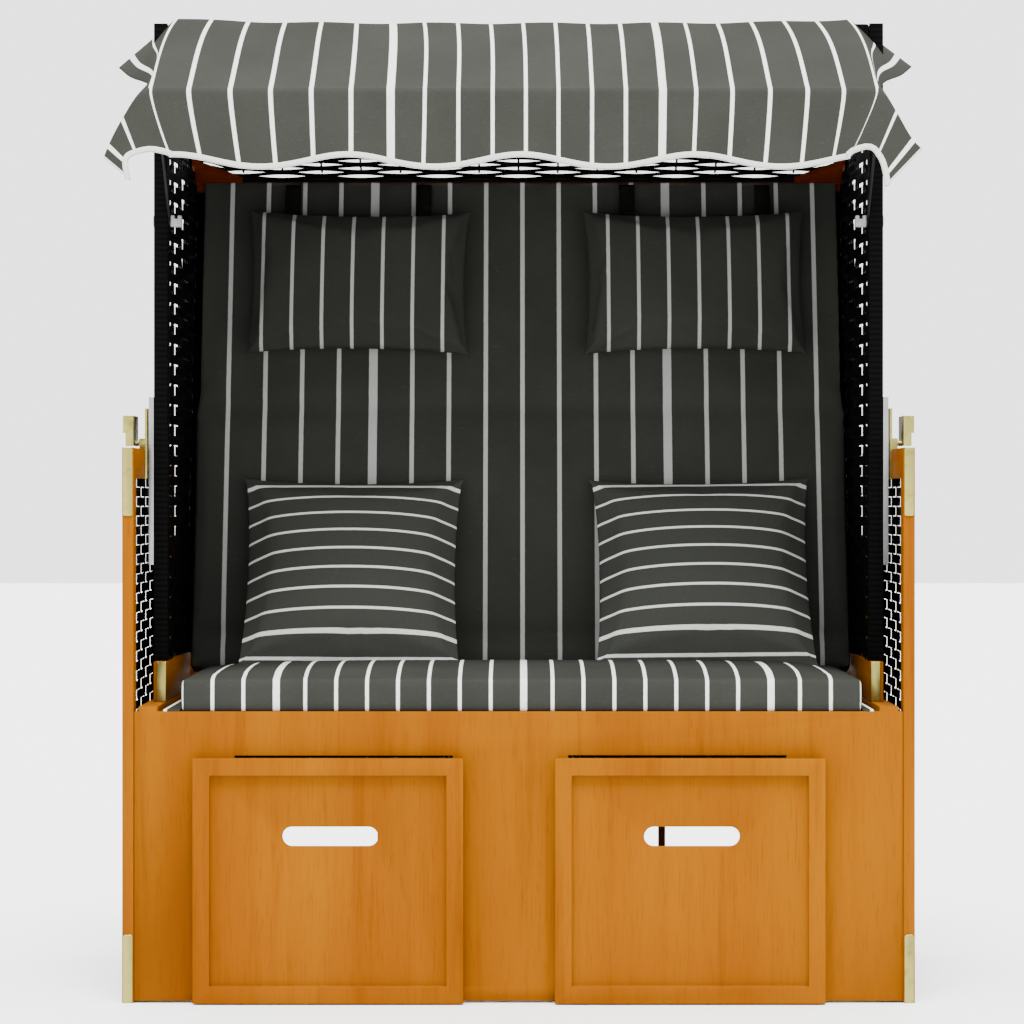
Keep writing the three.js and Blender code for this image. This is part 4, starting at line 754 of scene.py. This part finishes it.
def awning_surface(stripe, along):
    """Points of the sheet. along runs 0 to 1 down the slope, 1 to 2 round the bar and 2 to 3 down the
    valance. Past the edge stripes the sheet is drawn out to its free edge, and at the corners to the tip."""
    count = np.arange(LAST_STRIPE + 1.0)
    inner = np.clip(stripe, 0, LAST_STRIPE).ravel()
    roof, fold, hem = (smooth_table(inner, count, table).reshape(stripe.shape)
                       for table in (STRIPES_AT_ROOF, STRIPES_AT_FOLD, STRIPES_AT_HEM))
    slope, turn, drop = (np.clip(along - start, 0, 1) for start in (0, 1, 2))
    widen = (1 - np.exp(-slope / SLOPE_WIDENING)) / (1 - math.exp(-1 / SLOPE_WIDENING))
    x = roof + (fold - roof) * widen + (hem - fold) * drop ** VALANCE_NARROWING
    sag = SLOPE_SAG[0] * np.sin(np.pi * slope) * (1 + 0.5 * np.cos(2 * np.pi * x / SLOPE_SAG[1]))
    crest = (SIDE_LIFT[0] * np.abs(x / SIDE_LIFT[1]) ** 4 * (1 - slope) ** 2
             + SLOPE_RIPPLE[0] * np.sin(2 * np.pi * x / SLOPE_RIPPLE[1]) * (1 - slope))
    bend = np.pi / 2 * turn
    scallop = SCALLOP_DEPTH * np.cos(2 * np.pi * (x - SCALLOP_CENTRE) / SCALLOP_PITCH)
    belly = VALANCE_BELLY[0] + VALANCE_BELLY[1] * np.cos(4 * np.pi * (x - SCALLOP_CENTRE) / SCALLOP_PITCH)
    y = ROOF_EDGE[0] + slope_run[0] * slope - FOLD_RADIUS * np.sin(bend) - belly * drop ** 1.5
    z = (ROOF_EDGE[1] + slope_run[1] * slope - FOLD_RADIUS * (1 - np.cos(bend)) - sag + crest
         - (VALANCE_LENGTH + scallop) * drop)
    points = start = np.stack([x, y, z], axis=-1)
    for side, edge_stripe, way in (("left", 0, -1), ("right", LAST_STRIPE, 1)):
        past = np.clip((stripe - edge_stripe) * way, 0, CORNER_STRIPES[-1])
        share = (past / CORNER_STRIPES[-1])[..., None]
        edge, ridge, hem_line = (
            smooth_table(places.ravel(), stations, table[side]).reshape(*past.shape, 3)
            for places, stations, table in ((slope, SIDE_EDGE_SHARES, SIDE_EDGES),
                                            (past, CORNER_STRIPES, CORNER_RIDGES),
                                            (past, CORNER_STRIPES, CORNER_HEMS)))
        bulge = np.sin(np.pi * share[..., 0]) * SIDE_BULGE * np.sin(np.pi * slope)
        hanging = start + (edge - start) * share + np.stack([way * bulge, 0 * bulge, bulge], axis=-1)
        late = np.clip((slope - (1 - CORNER_REACH)) / CORNER_REACH, 0, 1)[..., None]
        late = late * late * (3 - 2 * late)
        ridge = ridge + (start - np.array(CORNER_RIDGES[side][0])) * (1 - share) * (along <= 1)[..., None]
        lower = ((turn * CORNER_FOLD_SHARE + drop) / (1 + CORNER_FOLD_SHARE))[..., None]
        corner = ridge * (1 - lower) + hem_line * lower
        seam = start + (corner - start) * np.clip(share * CORNER_SEAM_SLOPE, 0, 1)
        beyond = np.where((along > 1)[..., None], seam, hanging * (1 - late) + ridge * late)
        points = np.where(past[..., None] > 0, beyond, points)
    return points


def awning_normals(points):
    """Directions square to the sheet, from the differences between neighbouring points."""
    normal = np.cross(np.gradient(points, axis=1), np.gradient(points, axis=0))
    return normal / np.linalg.norm(normal, axis=-1, keepdims=True)


def shell(points, thickness):
    """A sheet given a thickness on both sides, closed round its edges."""
    rows, columns = points.shape[:2]
    offset = awning_normals(points) * thickness / 2
    count = rows * columns
    front = sheet_faces(rows, columns)
    back = front[:, ::-1] + count
    index = np.arange(count).reshape(rows, columns)
    rim = np.concatenate([index[0], index[1:, -1], index[-1, -2::-1], index[-2:0:-1, 0]])
    after = np.roll(rim, -1)
    walls = np.stack([rim, rim + count, after + count, after], axis=-1)
    return np.concatenate([(points + offset).reshape(-1, 3), (points - offset).reshape(-1, 3)]), \
        np.concatenate([front, back, walls])


stripe_row = np.concatenate([np.linspace(AWNING_EDGES[0], 0, 27)[:-1], np.linspace(0, LAST_STRIPE, 201),
                             np.linspace(LAST_STRIPE, AWNING_EDGES[1], 27)[1:]])
along_column = np.concatenate([np.linspace(0, 1, 37), np.linspace(1, 2, 7)[1:], np.linspace(2, 3, 21)[1:]])
stripe_grid, along_grid = np.meshgrid(stripe_row, along_column)
awning_points = awning_surface(stripe_grid, along_grid)
awning_shell, awning_faces = shell(awning_points, CLOTH_THICKNESS)
awning_finish = cloth_finish("striped_awning_cloth", AWNING_STRIPE_PITCH, AWNING_THIN, AWNING_WIDE,
                             AWNING_FIRST_WIDE, grey=AWNING_GREY, worn=AWNING_WORN)
awning = make("awning_cloth", awning_shell, awning_faces, awning_finish, None, "striped_cloth",
              stripe=np.tile(stripe_grid.ravel(), 2))
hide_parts("awning_slope", "awning_valance")
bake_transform(awning)

# Hem tape: white binding folded over the front hem and the front half of each side edge.
# A flat rounded band carried along the edge of the sheet and stitched through it.
TAPE_SECTION_SHARES = np.array([
    (0.0, -0.9), (0.5, -1.0), (1.0, -0.5), (1.12, 0.0), (1.0, 0.5), (0.5, 1.0), (0.0, 0.9)])
TAPE_WHITE = (0.44, 0.45, 0.425)
TAPE_SOILED = (0.40, 0.40, 0.375)
TAPE_SIDE_START = 0.55
TAPE_WIDTH = 0.0078
SIDE_TAPE_WIDTH = 0.0028
TAPE_THICKNESS = 0.0022
first_row = int(np.searchsorted(along_column, TAPE_SIDE_START))
last_row, last_column = len(along_column) - 1, len(stripe_row) - 1
edge_path = [(row, 0) for row in range(first_row, last_row + 1)]
edge_path += [(last_row, column) for column in range(1, last_column + 1)]
edge_path += [(row, last_column) for row in range(last_row - 1, first_row - 1, -1)]
path_rows, path_columns = (np.array(part) for part in zip(*edge_path))
edge_points = awning_points[path_rows, path_columns]
edge_normals = awning_normals(awning_points)[path_rows, path_columns]
edge_ways = np.gradient(edge_points, axis=0)
edge_ways /= np.linalg.norm(edge_ways, axis=1, keepdims=True)
inward_ways = np.cross(edge_ways, edge_normals)
inner_points = awning_points[np.clip(path_rows - 2, 0, None), np.clip(path_columns, 2, last_column - 2)]
inward_ways *= np.sign((inward_ways * (inner_points - edge_points)).sum(axis=1))[:, None]
on_side = (path_columns == 0) | (path_columns == last_column)
across = np.where(on_side, SIDE_TAPE_WIDTH, TAPE_WIDTH)[:, None] * (1 - TAPE_SECTION_SHARES[:, 0])
thick = TAPE_THICKNESS / 2 * TAPE_SECTION_SHARES[:, 1]
tape_points = (edge_points[:, None] + inward_ways[:, None] * across[..., None]
               + edge_normals[:, None] * thick[None, :, None])
tape_finish = worn_finish("white_hem_tape", TAPE_WHITE, TAPE_SOILED, (1300.0, 2.0), (25.0, 4.0), (0.5, 0.8),
                          0.5, relief=(0.0003, 0.4), base=(0.75,), Specular_IOR_Level=0.15)
tape = make("awning_hem_tape", tape_points.reshape(-1, 3), tube_faces(1, *tape_points.shape[:2]),
            tape_finish, None, "striped_cloth")
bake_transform(tape)

# Seat cushion: one long slab with rounded edges and a soft crown, in striped cloth over foam.
# The stripes run from front to back and over the front edge. A flat flap holds it at the seat rails.
SEAT_STRIPE_PITCH = 0.04572
SEAT_STRIPE_START = 0.00465
SEAT_THIN = 0.0053
SEAT_WIDE = 0.0100
SEAT_SPAN = (-0.4990, 0.5080)
SEAT_RADIUS = 0.009
SEAT_CROWN = 0.012
SEAT_BODY = 0.0495
SEAT_FLAP = 0.0048
SEAT_GAP = 0.001
SLAB_SWELL = 0.005
BAG_SQUARENESS = 2.2
EDGE_CROWDING = 0.9
CLOTH_PRESSURE = 4.0
CLOTH_FRAMES = 20


def bag(width, height, thickness, cells, draw, fullness=0.4545):
    """Two facing sheets joined round their edge. Thickness falls off to the edge as a power curve of both
    ways, raised to the fullness, and each edge is drawn in between its corners by a parabola. Gives points
    and faces, the front's points first."""
    u, v = (np.sin(np.linspace(-1, 1, count + 1) * np.pi / 2 * EDGE_CROWDING)
            / math.sin(np.pi / 2 * EDGE_CROWDING) for count in cells)
    uu, vv = np.meshgrid(u, v)
    fall = ((1 - np.abs(uu) ** BAG_SQUARENESS) * (1 - np.abs(vv) ** BAG_SQUARENESS)).clip(0) ** fullness
    x = uu * (width / 2 - draw * (1 - vv**2) * np.abs(uu) ** 3)
    y = vv * (height / 2 - draw * (1 - uu**2) * np.abs(vv) ** 3)
    front = np.stack([x, y, fall * thickness / 2], axis=-1)
    back = front * (1, 1, -1)
    rows, columns = uu.shape
    faces = sheet_faces(rows, columns)
    count = rows * columns
    index = np.arange(count).reshape(rows, columns)
    rear_index = index + count
    for edge in ((0, slice(None)), (-1, slice(None)), (slice(None), 0), (slice(None), -1)):
        rear_index[edge] = index[edge]
    rear_faces = rear_index.ravel()[faces][:, ::-1]
    used = np.unique(np.concatenate([faces.ravel(), rear_faces.ravel()]))
    renumber = np.full(2 * count, -1)
    renumber[used] = np.arange(len(used))
    points = np.concatenate([front.reshape(-1, 3), back.reshape(-1, 3)])[used]
    return points, renumber[np.concatenate([faces, rear_faces])]


def block(size, radius, cells):
    """A box with rounded edges: each point of a fine box is drawn to within a radius of the smaller box
    inside it. The points lie closer together towards the edges."""
    half = np.array(size) / 2
    points, faces, start = [], [], 0
    for axis in range(3):
        one, two = (axis + 1) % 3, (axis + 2) % 3
        a, b = (np.sin(np.linspace(-1, 1, cells[i] + 1) * np.pi / 2) for i in (one, two))
        aa, bb = np.meshgrid(a, b)
        for sign in (-1, 1):
            side = np.empty((aa.size, 3))
            side[:, axis], side[:, one], side[:, two] = sign, aa.ravel(), bb.ravel()
            points.append(side * half)
            faces.append(sheet_faces(*aa.shape)[:, ::sign] + start)
            start += aa.size
    corners, which = np.unique(np.round(np.concatenate(points), 7), axis=0, return_inverse=True)
    core = np.clip(corners, radius - half, half - radius)
    way = corners - core
    rounded = core + radius * way / np.linalg.norm(way, axis=1, keepdims=True)
    return rounded, which.ravel()[np.concatenate(faces)]


def swell(points, faces, cap, held):
    """Lets a closed bag of cloth swell under an inner pressure, with no point moving further than the cap.
    The held points stay in place, as a sewn channel does."""
    mesh = bpy.data.meshes.new("bag")
    mesh.from_pydata(points.tolist(), [], faces.tolist())
    cloth_bag = bpy.data.objects.new("bag", mesh)
    bpy.context.scene.collection.objects.link(cloth_bag)
    modifier = cloth_bag.modifiers.new("cloth", "CLOTH")
    modifier.settings.use_pressure = True
    modifier.settings.uniform_pressure_force = CLOTH_PRESSURE
    modifier.settings.effector_weights.gravity = 0
    modifier.collision_settings.use_collision = False
    modifier.point_cache.frame_start = 1
    modifier.point_cache.frame_end = CLOTH_FRAMES
    if held is not None:
        group = cloth_bag.vertex_groups.new(name="held")
        group.add(np.flatnonzero(held).tolist(), 1.0, "REPLACE")
        modifier.settings.vertex_group_mass = "held"
    scene = bpy.context.scene
    for step in range(1, CLOTH_FRAMES + 1):
        scene.frame_set(step)
    swollen = cloth_bag.evaluated_get(bpy.context.evaluated_depsgraph_get())
    moved = np.empty(len(points) * 3)
    swollen.data.vertices.foreach_get("co", moved)
    shift = moved.reshape(-1, 3) - points
    length = np.linalg.norm(shift, axis=1, keepdims=True)
    shift *= np.minimum(1, cap / np.maximum(length, 1e-9))
    bpy.data.objects.remove(cloth_bag)
    scene.frame_set(1)
    return points + shift


def pump(points, faces, cap, size, held=None):
    """A swollen bag, drawn out again to its cut width and height."""
    points = swell(points, faces, cap, held)
    outline = points[:, :2]
    centre = (outline.max(axis=0) + outline.min(axis=0)) / 2
    points[:, :2] = (outline - centre) * size[:2] / np.ptp(outline, axis=0)
    return points


def lay_back(points, centre, angle, turn=0.0):
    """Turns a bag that faces up so that it leans back from upright by an angle and faces the front."""
    x = points[:, 0] * math.cos(turn) - points[:, 1] * math.sin(turn)
    v = points[:, 0] * math.sin(turn) + points[:, 1] * math.cos(turn)
    w = points[:, 2]
    return np.stack([centre[0] + x, centre[1] + v * math.sin(angle) - w * math.cos(angle),
                     centre[2] + v * math.cos(angle) + w * math.sin(angle)], axis=-1)


def stuffed(name, points, faces, finish, body, stripe, node=None):
    """The finished cushion: smoothed once, and marked with its stripe count."""
    piece = make(name, points, faces, finish, body, "striped_cloth", stripe=stripe)
    smooth = piece.modifiers.new("smooth", "SUBSURF")
    smooth.levels = smooth.render_levels = 1
    if node:
        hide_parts(node)


seat_low, seat_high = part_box("seat_cushion")
seat_middle = (seat_low.y + seat_high.y) / 2
seat_finish = cloth_finish("striped_seat_cloth", SEAT_STRIPE_PITCH, SEAT_THIN, SEAT_WIDE, 3, 0.065)
seat_size = (SEAT_SPAN[1] - SEAT_SPAN[0], seat_high.y - seat_low.y - 2 * SEAT_GAP, SEAT_BODY)
slab, slab_faces = block(seat_size, SEAT_RADIUS, (80, 40, 6))
swollen = pump(slab, slab_faces, SLAB_SWELL, seat_size)
share_x, share_y = (np.clip(np.abs(slab[:, i]) / (seat_size[i] / 2), 0, 1) for i in (0, 1))
swollen[:, 2] += SEAT_CROWN * (1 - share_x**4) * (1 - share_y**2) * (slab[:, 2] > 0)
swollen[:, 1] = np.clip(swollen[:, 1], -seat_size[1] / 2 - SEAT_GAP, seat_size[1] / 2 + SEAT_GAP)
seat_points = swollen + (sum(SEAT_SPAN) / 2, seat_middle, seat_low.z + SEAT_BODY / 2)
seat_points[:, 2] = np.maximum(seat_points[:, 2], seat_low.z)
on_end = np.abs(slab[:, 0]) > seat_size[0] / 2 - SEAT_GAP
down_end = on_end * np.sign(slab[:, 0]) * (SEAT_BODY / 2 - slab[:, 2])
stuffed("seat_cushion_padded", seat_points, slab_faces, seat_finish, "base",
        (seat_points[:, 0] + down_end - SEAT_STRIPE_START) / SEAT_STRIPE_PITCH + 11, "seat_cushion")
for side, inner, outer, way in (("left", SEAT_SPAN[0] - SEAT_GAP, seat_low.x, 1),
                                ("right", SEAT_SPAN[1] + SEAT_GAP, seat_high.x, -1)):
    flap, flap_faces = block((abs(outer - inner), seat_size[1], SEAT_FLAP), SEAT_FLAP / 2, (8, 30, 4))
    flap = flap + ((inner + outer) / 2, seat_middle, seat_low.z + SEAT_FLAP / 2)
    stuffed(f"{side}_seat_flap", flap, flap_faces, seat_finish, "base",
            way * (outer - flap[:, 0]) / SEAT_STRIPE_PITCH + 9.08)

# Back cushion: a wide thin pad against the back of the hood, quilted through in two sewn channels.
# The stripes run straight up it.
BACK_FACE = (0.117992, 0.526)
BACK_STRIPE_PITCH = 0.05975
BACK_STRIPE_START = -0.4715
BACK_THIN = 0.0070
BACK_WIDE = 0.0138
BACK_CHANNELS = (0.526, 0.896)
BACK_CHANNEL_WIDTH = 0.0055
BACK_CHANNEL_DEPTH = 0.009
BACK_CHANNEL_HOLD = 0.012
BACK_THICKNESS = 0.040
BACK_RADIUS = 0.006
BACK_SPAN = (0.474, 1.2705)
BACK_WIDTH = 1.0550
BACK_CENTRE_X = 0.0032
SHADED_WHITE = (0.27, 0.275, 0.262)
back_finish = cloth_finish("striped_back_cloth", BACK_STRIPE_PITCH, BACK_THIN, BACK_WIDE, 4, -0.064,
                           white=SHADED_WHITE)


def on_back(x, z, lift):
    """A point that stands off the front of the back cushion by a lift, over its point at a height."""
    y = BACK_FACE[0] + (z - BACK_FACE[1]) * math.tan(BACK_LEAN)
    return x, y - lift * math.cos(BACK_LEAN), z + lift * math.sin(BACK_LEAN)


back_middle = sum(BACK_SPAN) / 2
back_size = (BACK_WIDTH, (BACK_SPAN[1] - BACK_SPAN[0]) / math.cos(BACK_LEAN), BACK_THICKNESS)
slab, slab_faces = block(back_size, BACK_RADIUS, (70, 64, 4))
channel_places = np.array([(z - back_middle) / math.cos(BACK_LEAN) for z in BACK_CHANNELS])
nearest = np.min(np.abs(slab[:, 1, None] - channel_places), axis=1)
swollen = pump(slab, slab_faces, SLAB_SWELL, back_size, nearest < BACK_CHANNEL_HOLD)
front = (slab[:, 2] > 0) * (np.abs(slab[:, 0]) < BACK_WIDTH / 2)
swollen[:, 2] -= BACK_CHANNEL_DEPTH * front * np.exp(-((nearest / BACK_CHANNEL_WIDTH) ** 2))
swollen[:, 2] = np.clip(swollen[:, 2], -BACK_THICKNESS / 2, None)
back_points = lay_back(swollen, on_back(BACK_CENTRE_X, back_middle, -BACK_THICKNESS / 2), BACK_LEAN)
stuffed("back_cushion_padded", back_points, slab_faces, back_finish, "hood",
        (back_points[:, 0] - BACK_STRIPE_START) / BACK_STRIPE_PITCH, "back_cushion")

# Head pillows: two small knife-edged pillows, each on two straps that hang from the top of the back cushion.
# The stripes run up and down.
HEAD_SIZE = (0.368, 0.250, 0.066)
HEAD_CENTRES = {"left": -0.2597, "right": 0.2864}
HEAD_TURNS = {"left": -0.008, "right": 0.004}
HEAD_HEIGHT = 1.088
HEAD_DRAW = 0.008
HEAD_SWELL = 0.010
HEAD_LIFT = HEAD_SIZE[2] / 2 + 0.002
HEAD_STRIPE_PITCH = 0.0489
HEAD_THIN = 0.0056
HEAD_STRIPE_STARTS = {"left": -0.0094, "right": 0.0061}
STRAP_GREY = (0.0025, 0.0027, 0.0022)
STRAP_WORN = (0.0035, 0.0037, 0.003)
STRAP_SIZE = (0.025, 0.1)
STRAP_THICKNESS = 0.0025
STRAP_SPAN = (0.100, 0.081)
STRAP_RINGS = 9
STRAP_PLACES = {"left": (-0.1115, 0.104), "right": (-0.108, 0.1146)}
head_finish = cloth_finish("striped_pillow_cloth", HEAD_STRIPE_PITCH, HEAD_THIN, HEAD_THIN, 5,
                           white=SHADED_WHITE)
strap_finish = cloth_finish("plain_strap_cloth", 1.0, 0.0001, 0.0001, 5, grey=STRAP_GREY, worn=STRAP_WORN)
head_bag, head_faces = bag(*HEAD_SIZE, (58, 40), HEAD_DRAW)
head_bag = pump(head_bag, head_faces, HEAD_SWELL, HEAD_SIZE)
head_bag[:, 2] = np.maximum(head_bag[:, 2], -HEAD_LIFT + 0.0005)
share = np.linspace(0, 1, STRAP_RINGS)
strap_up = STRAP_SPAN[0] + share * STRAP_SPAN[1]
strap_out = (HEAD_SIZE[2] / 2 - 0.006) * (1 - share) ** 1.3 + 0.003 - HEAD_LIFT
strap_corners = np.array([(dx * STRAP_SIZE[0] / 2, 0, dw * STRAP_THICKNESS / 2)
                          for dx, dw in ((-1, -1), (1, -1), (1, 1), (-1, 1))])
for side in SIDES:
    centre = on_back(HEAD_CENTRES[side], HEAD_HEIGHT, HEAD_LIFT)
    stuffed(f"{side}_head_pillow_padded", lay_back(head_bag, centre, BACK_LEAN, HEAD_TURNS[side]),
            head_faces, head_finish, "hood",
            (head_bag[:, 0] - HEAD_STRIPE_STARTS[side]) / HEAD_STRIPE_PITCH + 3, f"{side}_head_pillow")
    for number, across in enumerate(STRAP_PLACES[side]):
        path = np.stack([np.full(STRAP_RINGS, across), strap_up, strap_out], axis=-1)
        strap = (path[:, None] + strap_corners).reshape(-1, 3)
        strap_piece = make(f"{side}_pillow_strap_{number + 1}", lay_back(strap, centre, BACK_LEAN),
                           tube_faces(1, STRAP_RINGS, len(strap_corners)), strap_finish, "hood",
                           "striped_cloth", stripe=np.full(len(strap), 0.5))

# Lumbar cushions: two square scatter cushions that stand on the seat and lean on the back.
# The stripes run sideways and sag a little towards the corners.
LUMBAR_SIZE = (0.357, 0.350, 0.104)
# Painted light: the lumbar cloth is a lighter grey than the other cushions, for the light on their
# upward-leaning faces.
LUMBAR_LIT_GREY = (0.034, 0.036, 0.031)
LUMBAR_LEAN = math.radians(31)
LUMBAR_TURNS = {"left": -0.004, "right": 0.012}
LUMBAR_DROP = (0, -0.0036, -0.0060)
LUMBAR_DRAW = 0.010
LUMBAR_FULLNESS = 0.78
LUMBAR_SWELL = 0.007
LUMBAR_STRIPE_PITCH = 0.0345
LUMBAR_THIN = 0.0043
LUMBAR_WIDE = 0.0072
LUMBAR_STRIPE_STARTS = {"left": 4.63, "right": 4.49}
lumbar_finish = cloth_finish("striped_lumbar_cloth", LUMBAR_STRIPE_PITCH, LUMBAR_THIN, LUMBAR_WIDE, 1,
                             grey=LUMBAR_LIT_GREY, worn=LUMBAR_LIT_GREY)
lumbar_bag, lumbar_faces = bag(*LUMBAR_SIZE, (56, 54), LUMBAR_DRAW, LUMBAR_FULLNESS)
lumbar_bag = pump(lumbar_bag, lumbar_faces, LUMBAR_SWELL, LUMBAR_SIZE)
for side in SIDES:
    low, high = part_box(f"{side}_lumbar_cushion")
    centre = tuple((low[i] + high[i]) / 2 + LUMBAR_DROP[i] for i in range(3))
    stuffed(f"{side}_lumbar_padded", lay_back(lumbar_bag, centre, LUMBAR_LEAN, LUMBAR_TURNS[side]),
            lumbar_faces, lumbar_finish, "hood",
            lumbar_bag[:, 1] / LUMBAR_STRIPE_PITCH + LUMBAR_STRIPE_STARTS[side],
            f"{side}_lumbar_cushion")

# Footrest cushions: thin pads on the sliding platforms, in striped cloth over foam.
# The stripes run from front to back.
FOOT_STRIPE_PITCH = 0.0423
FOOT_THIN = 0.006
FOOT_RADIUS = 0.006
foot_finish = cloth_finish("striped_footrest_cloth", FOOT_STRIPE_PITCH, FOOT_THIN, FOOT_THIN, 5)
for side in SIDES:
    low, high = (np.array(corner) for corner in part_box(f"{side}_footrest_cushion"))
    pad, pad_faces = block(high - low, FOOT_RADIUS, (40, 50, 4))
    pad = pad + (low + high) / 2
    stuffed(f"{side}_footrest_padded", pad, pad_faces, foot_finish, f"{side}_footrest",
            pad[:, 0] / FOOT_STRIPE_PITCH + 0.3, f"{side}_footrest_cushion")
